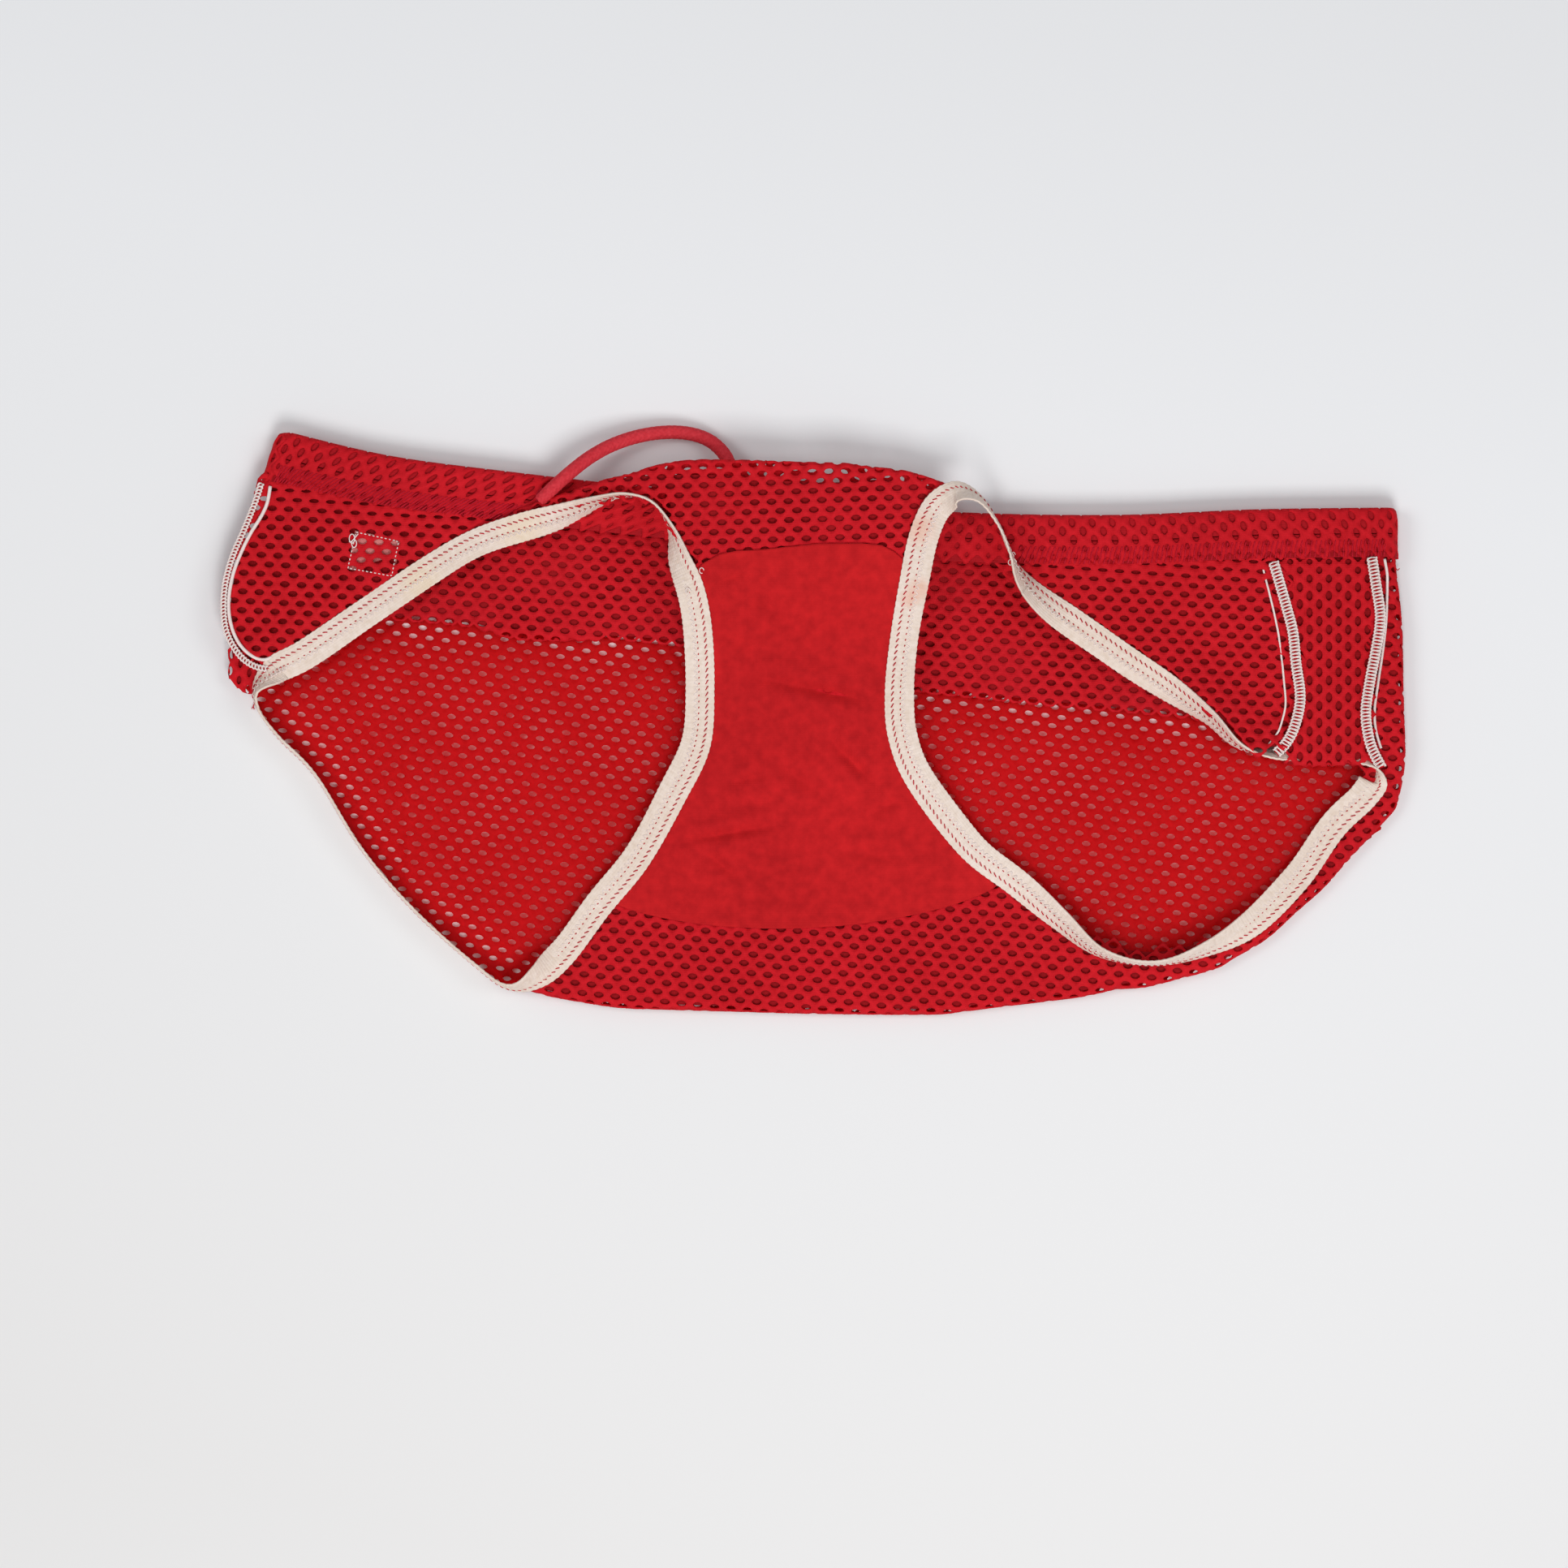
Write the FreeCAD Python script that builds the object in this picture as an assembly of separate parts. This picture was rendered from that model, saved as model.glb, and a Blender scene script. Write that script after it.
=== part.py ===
import FreeCAD
import Part
import os
from math import cos, pi, radians, sin, tan

# A swim brief of open red mesh, turned inside out and laid flat with its front up.
# Millimetres. +X to the right, +Y towards the waistband, +Z up, the table at z = 0.
# Soft parts are plain closed solids in the place that each cloth layer takes.

V = FreeCAD.Vector
UP = V(0, 0, 1)

# ---- driving dimensions ----
laid_width = 391.0          # across the laid brief, side to side
laid_length = 192.0         # crotch fold to the left end of the waistband
mesh_thick = 0.7            # mesh cloth
lining_thick = 0.5          # jersey lining
casing_room = 1.2           # thickness left inside the doubled waist casing
waist_gap = 4.4             # clear gap between front and back waistband
casing_height = 16.5        # waistband, edge to edge
inner_gap = 0.1             # room round what lies in the casing
waist_elastic_share = 0.40  # of the casing height
cord_diameter = 4.6
cord_flat_share = 0.40      # the cord lies flattened in the casing
elastic_width = 9.5         # leg elastic
elastic_thick = 1.0
hem_overlap = 3.0           # cloth that runs under the leg elastic
near_level = 7.9            # underside of the front and side panels
wrap_level = 5.0            # underside of the back panel where it wraps forward
pleat_gap = 0.35            # air between folded layers
overlock_width = 3.4
overlock_thick = 0.9
piping_width = 1.2
piping_thick = 0.8
seam_step = 6.4             # overlock centre to piping centre
thread = 0.4
lining_gap = 0.1            # lining over strap, and thread over lining
fold_rise = 0.9             # half the height of the raised top fold
fold_reach = 2.2            # how far back that fold starts to turn
stitch_share = (0.26, 0.52) # thread rows across the leg elastic
eyelet_rim = 0.9            # worked edge of a cord hole
eyelet_room = 0.2           # cord hole over cord
patch_width = 15.5
patch_height = 13.0
patch_thick = 0.4
patch_margin = 0.5          # stitching to the patch's edge
clearance = 0.3
seam_room = 0.6             # cloth edge to the foot of the casing
wrap_gap = 0.4              # between the two stretches of the wrapped back panel

# ---- what follows from them ----
drawn_width = 391.0
drawn_length = 192.0
across = laid_width / drawn_width
along = laid_length / drawn_length
casing_thick = 2 * mesh_thick + casing_room
band_height = 2 * casing_thick + waist_gap
near_top = near_level + mesh_thick
wrap_top = wrap_level + mesh_thick
arc_samples = 6


def spot(x, y):
    """A place on the drawn outline, at the size the brief is laid to."""
    return x * across, y * along


def spots(points):
    return [spot(x, y) for x, y in points]


def smooth(points, closed=False, steps=arc_samples):
    """Rounds a chain of points of any number of coordinates."""
    count = len(points)
    result = []
    spans = count if closed else count - 1
    for i in range(spans):
        if closed:
            a, b, c, d = (points[(i + k) % count] for k in (-1, 0, 1, 2))
        else:
            b, c = points[i], points[i + 1]
            a = points[i - 1] if i > 0 else b
            d = points[i + 2] if i + 2 < count else c
        for step in range(steps):
            t = step / steps
            result.append(tuple(
                0.5 * (2 * q + (r - p) * t + (2 * p - 5 * q + 4 * r - s) * t ** 2
                       + (3 * q - p - 3 * r + s) * t ** 3)
                for p, q, r, s in zip(a, b, c, d)))
    if not closed:
        result.append(tuple(points[-1]))
    return result


def edge(points, z):
    vectors = [V(x, y, z) for x, y in points]
    if len(vectors) == 2:
        return Part.makeLine(vectors[0], vectors[1])
    curve = Part.BSplineCurve()
    curve.interpolate(vectors)
    return curve.toShape()


def slab(sides, low, high):
    """Cloth lying level: chains of points end to end round its edge."""
    edges = []
    for i, side in enumerate(sides):
        edges.append(edge(side, low))
        end = side[-1]
        start = sides[(i + 1) % len(sides)][0]
        if abs(end[0] - start[0]) + abs(end[1] - start[1]) > 1e-6:
            edges.append(edge([end, start], low))
    face = Part.Face(Part.Wire(Part.__sortEdges__(edges)))
    return face.extrude(UP * (high - low))


def beside(points, offset):
    """The chain moved sideways, to the right of its direction."""
    result = []
    last = len(points) - 1
    for i, (x, y) in enumerate(points):
        x0, y0 = points[max(i - 1, 0)]
        x1, y1 = points[min(i + 1, last)]
        run = ((x1 - x0) ** 2 + (y1 - y0) ** 2) ** 0.5
        result.append((x + (y1 - y0) / run * offset, y - (x1 - x0) / run * offset))
    return result


def band(points, width, low, high, shift=0.0):
    """A flat strip of constant width along a chain."""
    right = beside(points, shift + width / 2)
    left = beside(points, shift - width / 2)
    return slab([right, list(reversed(left))], low, high)


def fold_wall(points, inward, low, high):
    """The upright cloth of a fold, its outer face along the chain."""
    return slab([points, list(reversed(beside(points, inward)))], low, high)


def ribbon(stations, near, far, low, high):
    """A strip that turns on its edge. A station is x, y, z and tilt, on the sewn edge.
    near and far are measured across the strip, low and high through it."""
    chain = smooth([spot(x, y) + (z, tilt) for x, y, z, tilt in stations], closed=True)
    count = len(chain)
    wires = []
    for i in range(count):
        x, y, z, tilt = chain[i]
        before = chain[i - 1]
        after = chain[(i + 1) % count]
        ahead = V(after[0] - before[0], after[1] - before[1], 0)
        ahead.normalize()
        side = V(ahead.y, -ahead.x, 0)
        wide = side * cos(radians(tilt)) + UP * sin(radians(tilt))
        thick = side * -sin(radians(tilt)) + UP * cos(radians(tilt))
        base = V(x, y, z)
        corners = [base + wide * near + thick * low, base + wide * far + thick * low,
                   base + wide * far + thick * high, base + wide * near + thick * high]
        wires.append(Part.makePolygon(corners + corners[:1]))
    return Part.makeLoft(wires, True, True, True)


def save(shape, name):
    os.makedirs("parts", exist_ok=True)
    shape.exportStep("parts/" + name + ".step")
    print(name, "valid" if shape.isValid() else "NOT VALID", round(shape.Volume, 1))


# ---- the waistband: a flattened ring, its casing, elastic and cord ----
waist_top = [(-173, 96), (-140, 88.3), (-100, 83), (-55, 78), (0, 73), (50, 69.6),
             (100, 68.8), (145, 70.6), (188, 71.2)]
waist_slant = [-6, -3, -1, 0, 0, 0, 0, 1, 1]


def waist_line(share):
    """The band's line at a share of its height, 0 at its lower edge and 1 at its top."""
    line = []
    for (x, y), slant in zip(waist_top, waist_slant):
        px, py = spot(x + slant * (1 - share), y)
        line.append((px, py - casing_height * (1 - share)))
    return line


def under_band(x, gap):
    """A place below the waistband's lower edge, at a drawn x and a gap in millimetres."""
    px = x * across
    line = waist_line(0)
    for (ax, ay), (bx, by) in zip(line, line[1:]):
        if ax <= px <= bx:
            return (px, ay + (by - ay) * (px - ax) / (bx - ax) - gap)
    return (px, line[-1][1] - gap)


def waist_wire(share, inset):
    """Front run, turn, back run and turn of the flattened ring, as one closed wire."""
    line = waist_line(share)
    high = band_height - inset
    middle = band_height / 2
    left, right = line[0], line[-1]
    turn = middle - inset
    edges = [edge(line, high),
             Part.Arc(V(right[0], right[1], high), V(right[0] + turn, right[1], middle),
                      V(right[0], right[1], inset)).toShape(),
             edge(list(reversed(line)), inset),
             Part.Arc(V(left[0], left[1], inset), V(left[0] - turn, left[1], middle),
                      V(left[0], left[1], high)).toShape()]
    return Part.Wire(edges)


def waist_ring(low_share, high_share, outer, inner):
    """The band between two shares of its height and two depths from its outer face."""
    corners = [(low_share, outer), (high_share, outer), (high_share, inner), (low_share, inner)]
    return Part.makeLoft([waist_wire(share, inset) for share, inset in corners], True, True, True)


edge_share = mesh_thick / casing_height
gap_share = inner_gap / casing_height
channel_outer = mesh_thick
channel_inner = casing_thick - mesh_thick
elastic_low = edge_share + gap_share
cord_high = 1 - edge_share - gap_share

# Two worked holes in the front of the casing, over the flattened cord.
eyelets = {"cord_eyelet_left": (-88.9, 74.9), "cord_eyelet_right": (-24.0, 69.4)}
hole_radius = cord_diameter / 2 + eyelet_room
skin_low = band_height - mesh_thick - inner_gap

casing = waist_ring(0, 1, 0, casing_thick)
casing = casing.cut(waist_ring(edge_share, 1 - edge_share, channel_outer, channel_inner))
for place in eyelets.values():
    x, y = spot(*place)
    casing = casing.cut(Part.makeCylinder(hole_radius, mesh_thick * 2, V(x, y, skin_low)))
# A block parts the front and back runs of the casing from its two end turns.
left_turn_x = spot(-172.5, 0)[0]
right_turn_x = spot(187.5, 0)[0]
run_block = Part.makeBox(right_turn_x - left_turn_x, laid_length, band_height, V(left_turn_x, 0, 0))
runs = casing.common(run_block)
turns = casing.cut(run_block)
for name, solid in zip(("waist_casing_back", "waist_casing_front"),
                       sorted(runs.Solids, key=lambda solid: solid.CenterOfMass.z)):
    save(solid, name)
for name, solid in zip(("waist_turn_left", "waist_turn_right"),
                       sorted(turns.Solids, key=lambda solid: solid.CenterOfMass.x)):
    save(solid, name)
save(waist_ring(elastic_low, elastic_low + waist_elastic_share,
                channel_outer + inner_gap, channel_inner - inner_gap), "waist_elastic")
save(waist_ring(cord_high - cord_flat_share, cord_high,
                channel_outer + inner_gap, channel_inner - inner_gap), "drawcord_in_casing")
for name, place in eyelets.items():
    x, y = spot(*place)
    rim = Part.makeCylinder(hole_radius + eyelet_rim, thread, V(x, y, band_height))
    rim = rim.cut(Part.makeCylinder(hole_radius, thread, V(x, y, band_height)))
    save(rim, name)

# The double row of thread along the foot of the casing, where the front shows it.
rows = []
for share in (0.06, 0.24):
    line = waist_line(share)
    for part_of_line in (line[:3], line[6:]):
        rows.append(band(part_of_line, thread, band_height, band_height + thread))
save(Part.makeCompound(rows), "waist_cover_stitch")

# ---- the crotch strap's slope, from the raised top fold down to the crotch ----
strap_points = [(70, 17.4), (58, 16.9), (50, 15.6), (30, 11.9), (10, 9.1), (-10, 7.4), (-40, 5.9)]
strap_end = (-60, wrap_level + mesh_thick / 2)


def on_strap(y):
    """Height just above the strap's cloth."""
    chain = strap_points + [strap_end]
    for (y1, z1), (y2, z2) in zip(chain, chain[1:]):
        if y >= y2:
            return z2 + (z1 - z2) * (y - y2) / (y1 - y2) + mesh_thick / 2 + clearance
    return wrap_top + clearance


# ---- leg elastics: stations on the sewn edge, clockwise seen from above ----
over_band = band_height + clearance
level = near_top + clearance
left_leg = [
    (-180.5, 21.6, level, 0), (-170, 27.5, level, 0), (-150, 41, level, 0), (-130, 54.5, level, 0),
    (-114, 63.6, level + 0.5, 0), (-98, 69.3, over_band + 1.6, -10), (-85, 72.3, over_band + 4.9, -30),
    (-72, 74.8, over_band + 8.2, -60), (-62, 75.8, over_band + 10.0, -76),
    (-53, 73, over_band + 10.0, -78), (-46, 65, over_band + 8.8, -62), (-41, 56, 16.9, -30),
    (-36.5, 46, on_strap(46), -8), (-33.8, 32, on_strap(32), 0), (-33, 12, on_strap(12), 0),
    (-34.5, -8, on_strap(-8), 0), (-43, -26, on_strap(-26), 0), (-55, -47, on_strap(-47), 0),
    (-68, -63, wrap_top + clearance, 0), (-80, -79, wrap_top + clearance, 0),
    (-90, -86.5, wrap_top - 0.3, 40), (-101, -87.5, 2.4, 84), (-113, -79, 0.9, 98),
    (-133, -61, 0.6, 98), (-150, -41, 0.6, 98), (-165, -17, 0.6, 98), (-177.5, -4, 0.6, 98),
    (-184, 5.5, 1.2, 98), (-185.5, 12.5, 4.4, 62)]
right_leg = [
    (72, 47.5, level, 0), (88, 37.3, level, 0), (104, 26.2, level, -8), (120, 15.2, 9.8, -32),
    (132, 4.2, 12.2, -64), (141, -6.3, 12.6, -84), (151, -10.8, 10.4, -122), (163, -12.2, 7.5, -170),
    (176, -12.6, 7.5, -170), (185.5, -14.2, 10.6, -104), (189.5, -20, 7.6, -20),
    (185, -27, wrap_top + 0.8, 8), (175, -37, wrap_top + clearance, 0), (163, -54, wrap_top + clearance, 0),
    (147, -69.3, wrap_top + clearance, 18), (130, -76.2, wrap_top + clearance, 58),
    (112, -79.3, wrap_top + clearance, 80), (94, -76.2, wrap_top + clearance, 72),
    (79, -66.8, wrap_top + clearance, 44), (64, -55.6, wrap_top + clearance, 14),
    (48, -43.2, on_strap(-43), 0), (31, -21, on_strap(-21), 0), (24.5, -5, on_strap(-5), 0),
    (23.3, 10, on_strap(10), 0), (24.8, 27, on_strap(27), 0), (27.8, 46, on_strap(46), 0),
    (31.3, 63, on_strap(63), 0), (37, 74.5, 18.3, 0), (46, 79, 18.3, 0), (54, 75, 16.0, 26),
    (60, 66, over_band + 1.0, 74), (64.5, 55.5, over_band + 0.5, 78)]
for side, stations in (("left", left_leg), ("right", right_leg)):
    save(ribbon(stations, 0, elastic_width, 0, elastic_thick), "leg_elastic_" + side)
    rows = [ribbon(stations, share * elastic_width, share * elastic_width + thread,
                   elastic_thick, elastic_thick + thread) for share in stitch_share]
    save(Part.makeCompound(rows), "leg_stitching_" + side)


def sewn_line(stations, first, last, shift):
    """The stretch of a leg's sewn edge between two stations, moved sideways."""
    line = spots([(x, y) for x, y, _, _ in stations[first:last + 1]])
    return beside(line, shift)


# ---- front panel: level left and right parts, and the folded centre ----
foot = beside(waist_line(0), seam_room)
left_seam = spots([(-184.6, 77.4), (-190.2, 61), (-194.8, 46), (-194.6, 36), (-191.5, 27), (-184.5, 20.6)])
save(slab([foot[:3], list(reversed(sewn_line(left_leg, 0, 4, hem_overlap))),
           list(reversed(left_seam))], near_level, near_top), "front_panel_left")

front_right_seam = [under_band(151.5, 1.7)] + spots([(154.3, 40), (157, 27), (158.6, 14), (158, 3), (154, -7.5)])
right_foot = foot[5:8]
lower_right = sewn_line(right_leg, 0, 2, hem_overlap / 2) + sewn_line(right_leg, 3, 5, -2.0)
save(slab([right_foot, front_right_seam, list(reversed(lower_right))], near_level, near_top),
     "front_panel_right")

# The centre comes down from the waistband, turns back up over it and down again as the
# crotch strap. A section in Y and Z, which follows the curved top fold across the strap.
fold_line = [(-61, 81.6), (-48, 85.2), (-30, 86.3), (0, 85.5), (20, 84), (41, 80)]
hidden_foot = [(49, near_level + mesh_thick / 2), (43, near_level + mesh_thick / 2),
               (41.8, near_level + 1.6), (43, near_level + 2.8)]
hidden_rise = [(50, 12.2), (58, 14.6), (64, 15.7)]
fold_level = 16.6


def thickened(points, x, width):
    """A closed section round a chain of y, z points, at one x."""
    pairs = [(p[0], p[1]) for p in points]
    sides = beside(pairs, width / 2) + list(reversed(beside(pairs, -width / 2)))
    corners = [V(x, y, z) for y, z in sides]
    return Part.makePolygon(corners + corners[:1])


def strap_section(x, fold_y):
    scaled = [(y * along, z) for y, z in hidden_foot + hidden_rise]
    fold = [(fold_y - fold_reach, fold_level - fold_rise), (fold_y - mesh_thick / 2, fold_level),
            (fold_y - fold_reach, fold_level + fold_rise)]
    near = [(y * along, z) for y, z in strap_points + [strap_end]]
    return thickened(scaled + fold + near, x, mesh_thick)


def lining_section(x):
    lift = (mesh_thick + lining_thick) / 2
    start = [(57 * along, 16.75 + lift + lining_gap)]
    near = [(y * along, z + lift + lining_gap) for y, z in strap_points[2:]]
    foot_z = wrap_top + lining_thick / 2 + lining_gap
    end = [(-60 * along, foot_z), (-71 * along, foot_z)]
    return thickened(start + near + end, x, lining_thick)


def between(left, right):
    """A tall block between a left and a right chain, both given from the top down."""
    return slab([left, list(reversed(right))], -1, 30)


strap_left = spots([(-60, 88), (-60, 77.2), (-51.5, 73.2), (-44.3, 65.5), (-41, 57.5), (-37.5, 49)])
strap_left += sewn_line(left_leg, 13, 18, hem_overlap)
strap_right = spots([(40.5, 88), (40, 76.5)]) + list(reversed(sewn_line(right_leg, 19, 26, hem_overlap)))
sections = [strap_section(*spot(x, y)) for x, y in [(-100, 81.6)] + fold_line + [(100, 80)]]
strap = Part.makeLoft(sections, True, True)
save(strap.common(between(strap_left, strap_right)), "front_panel_centre")

# The front panel's narrow bridge between the raised elastic and the top fold.
bridge = []
for x, y1, z1, y2, z2 in ((-84, 73.4, 15.0, 74.6, 15.0), (-76, 75.0, 17.2, 77.4, 16.0),
                          (-69, 76.2, 18.8, 79.8, 16.6), (-61.5, 77.2, 19.6, 82.0, 17.4)):
    (px, py1), (_, py2) = spot(x, y1), spot(x, y2)
    corners = [V(px, py1, z1), V(px, py2, z2), V(px, py2, z2 + mesh_thick), V(px, py1, z1 + mesh_thick)]
    bridge.append(Part.makePolygon(corners + corners[:1]))
save(Part.makeLoft(bridge, True, True), "front_panel_bridge")

lining_left = [spot(-36, 58)] + beside(spots([(-37, 47), (-34.8, 32), (-34, 12), (-35.5, -8), (-44, -26),
                                              (-56, -47), (-63, -57)]), -2)
lining_right = [spot(29, 58)] + beside(spots([(27, 46), (24.8, 27), (23.3, 10), (24.5, -5), (31, -21),
                                              (48, -43.2), (58, -51)]), 2)
block = Part.makeLoft([lining_section(-80 * across), lining_section(80 * across)], True, True)
lining_edge = spots([(-62, -57), (-50, -64), (-34, -68.5), (-14, -70.3), (6, -70.6), (26, -67), (44, -62),
                     (57, -55.5)])
trim = slab([lining_left + lining_edge[1:-1] + list(reversed(lining_right))], -1, 30)
save(block.common(trim), "crotch_lining")

lining_seam_z = wrap_top + lining_thick + 2 * lining_gap
save(band(spots([(-55, -61), (-34, -67.5), (-14, -69.3), (6, -69.6), (26, -66), (50, -58.5)]),
          thread, lining_seam_z, lining_seam_z + thread), "lining_seam")

# ---- side panels ----
back_right_seam = [under_band(184.5, seam_room)] + spots([(187, 42), (187, 28), (184.3, 15), (183, 4), (185.5, -8)])
save(slab([[under_band(x, seam_room) for x in (159.5, 172, 183.5)], beside(back_right_seam, 1.2),
           spots([(181, -11.4), (168, -11), (157.5, -9)]),
           list(reversed(beside(front_right_seam, -1.6)))],
          near_level, near_top), "side_panel_right")

side_low = 3.6
left_fold = spots([(-184.8, 76), (-190.2, 60), (-194.9, 46), (-194.9, 33), (-194.2, 20), (-193.9, 11.5)])
tucked = [left_fold, spots([(-193.9, 11.5), (-189, 12), (-182, 19.5), (-164, 20)]),
          spots([(-164, 20), (-158, 45), (-157, 70)])]
side_left = slab(tucked, side_low, side_low + mesh_thick)
side_wall = fold_wall(left_fold, -mesh_thick, side_low + mesh_thick, near_level - pleat_gap)
save(side_left.fuse(side_wall), "side_panel_left")

# ---- back panel: on the table, pleated, and wrapped forward at the right and the crotch ----
outer_right = spots([(191.5, 46), (195, 12), (195.3, -8), (192.5, -26), (178, -46), (161, -61.5),
                     (139, -77.5), (115, -86), (78, -91.5), (62, -93.6)])
outer_foot = spots([(62, -93.6), (38, -95.7), (0, -95.7), (-40, -94.2), (-70, -91), (-90, -88.4)])
outer_left = sewn_line(left_leg, 21, 27, 1.2)
table_top = spots([(-177, 46), (0, 44), (191.5, 46)])
table = slab([outer_right, outer_foot[1:] + [spot(-97, -86)], outer_left + [spot(-181, 22)], table_top],
             0, mesh_thick)
save(table, "back_panel_lower")

pleat_low = mesh_thick + pleat_gap
pleat_foot = spots([(-172, 34.5), (-143.6, 34.2), (-108, 30.8), (-84, 28), (-41, 25), (0, 18.5),
                    (37, 12), (91, 5.5), (128, 1), (155, -2.5), (184, -3)])
pleat_head = [spot(-172, 72)] + foot[1:8] + [under_band(184, 2.6)]
back_under = slab([pleat_foot, spots([(184, 42), (0, 40), (-172, 42)])], pleat_low, pleat_low + mesh_thick)
over_low = pleat_low + mesh_thick + pleat_gap
back_over = slab([pleat_foot, list(reversed(pleat_head))], over_low, over_low + mesh_thick)
turned = fold_wall(pleat_foot, -mesh_thick, pleat_low + mesh_thick, over_low)
save(back_over.fuse(back_under).fuse(turned), "back_panel_pleat")

wrap_inner = [back_right_seam[-1]] + sewn_line(right_leg, 11, 19, hem_overlap * 0.4)
right_strip = slab([outer_right, [outer_right[-1], wrap_inner[-1]], list(reversed(wrap_inner)),
                    list(reversed(beside(back_right_seam, -2.6))), [spot(190.5, 50), outer_right[0]]],
                   wrap_level, wrap_top)
right_wall = fold_wall(outer_right, mesh_thick, mesh_thick, wrap_level)
save(right_strip.fuse(right_wall), "back_panel_right_wrap")

crotch_left = list(reversed(sewn_line(left_leg, 18, 20, -0.6)))
foot_right = (outer_foot[0][0] - wrap_gap, outer_foot[0][1])
outer_foot[0] = foot_right
crotch_strip = slab([outer_foot, crotch_left, spots([(-66, -61.5), (0, -61.5), (61, -61.5)]),
                     [spot(61, -61.5), foot_right]], wrap_level, wrap_top)
crotch_wall = fold_wall(outer_foot, mesh_thick, mesh_thick, wrap_level)
save(crotch_strip.fuse(crotch_wall), "back_panel_crotch_wrap")

# ---- seams: overlocked edges and the piping beside them ----
seams = {"overlock_front_right": (front_right_seam, 0.0, overlock_width, overlock_thick),
         "piping_front_right": (front_right_seam, seam_step, piping_width, piping_thick),
         "overlock_back_right": (back_right_seam, 0.0, overlock_width, overlock_thick),
         "piping_back_right": (back_right_seam, -seam_step + 1.5, piping_width, piping_thick),
         "overlock_left": (left_seam, -1.2, piping_width, overlock_thick),
         "piping_left": (left_seam, -4.2, piping_width, piping_thick)}
for name, (line, shift, width, thick) in seams.items():
    base = wrap_top if name == "piping_back_right" else near_top
    save(band(line, width, base, base + thick, shift), name)

# ---- the label patch behind the left front, and its running stitch ----
patch_centre = V(*spot(-145.5, 56), 0)
patch_turn = -12


def tilted_box(width, height, low, high):
    box = Part.makeBox(width, height, high - low, V(-width / 2, -height / 2, low))
    box.rotate(V(0, 0, 0), UP, patch_turn)
    box.translate(patch_centre)
    return box


save(tilted_box(patch_width, patch_height, near_level - patch_thick, near_level), "label_patch")
row_width = patch_width - 2 * patch_margin
row_height = patch_height - 2 * patch_margin
frame_outer = tilted_box(row_width, row_height, near_top, near_top + thread)
frame_inner = tilted_box(row_width - 2 * thread, row_height - 2 * thread, near_top, near_top + thread)
save(frame_outer.cut(frame_inner), "label_stitching")

# ---- loose thread ends ----
thread_end_length = 4.0
thread_ends = {"loose_thread_left": (-187.5, 5.5, 55), "loose_thread_right": (190.2, 46.5, 75)}
for name, (x, y, turn) in thread_ends.items():
    end = Part.makeBox(thread_end_length, thread, thread, V(0, 0, 0))
    end.rotate(V(0, 0, 0), UP, turn)
    end.translate(V(*spot(x, y), 0))
    save(end, name)

# ---- the drawcord outside the casing: out of one hole, round and into the other ----
cord_points = [
    (-90.2, 73.7, 11.0), (-87.8, 76.0, 12.3), (-84.5, 79.2, 12.6), (-80.3, 83.0, 12.0),
    (-74.4, 88.0, 9.8), (-66.4, 92.8, 7.0), (-56.0, 96.2, 4.8), (-45.0, 97.2, 3.7), (-35.8, 95.2, 3.6),
    (-29.9, 90.2, 5.2), (-27.5, 84.6, 8.4), (-26.1, 79.8, 11.4), (-24.9, 75.2, 12.6),
    (-24.2, 71.0, 12.3), (-23.7, 67.7, 11.0)]


def cord_tube(points, diameter):
    """Straight runs joined by tangent arcs, then a tube round them."""
    corners = [V(*p) for p in points]
    edges = []
    start = corners[0]
    radii = []
    for i in range(1, len(corners) - 1):
        before = corners[i - 1] - corners[i]
        after = corners[i + 1] - corners[i]
        turn = radians(180) - before.getAngle(after)
        cut = 0.45 * min(before.Length, after.Length)
        radius = cut / tan(turn / 2)
        radii.append(round(radius / diameter, 1))
        before.normalize()
        after.normalize()
        first = corners[i] + before * cut
        last = corners[i] + after * cut
        inward = before + after
        inward.normalize()
        reach = (radius ** 2 + cut ** 2) ** 0.5 - radius
        edges.append(Part.makeLine(start, first))
        edges.append(Part.Arc(first, corners[i] + inward * reach, last).toShape())
        start = last
    edges.append(Part.makeLine(start, corners[-1]))
    path = Part.Wire(edges)
    ahead = corners[1] - corners[0]
    section = Part.Wire(Part.makeCircle(diameter / 2, corners[0], ahead))
    tube = path.makePipeShell([section], True, False)
    print("cord radii in diameters", radii)
    print("cord length", round(path.Length, 1), "volume share",
          round(tube.Volume / (path.Length * pi * diameter ** 2 / 4), 3))
    return tube


save(cord_tube(cord_points, cord_diameter), "drawcord")
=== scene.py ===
# %% [markdown]
# A swim brief of open red mesh, turned inside out and laid flat, front up. This notebook builds it round
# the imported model, which gives the size and the place of every layer. All lengths below are written in
# millimetres and turned into metres where a mesh is made.

# %% Load the frame
import math

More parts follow.
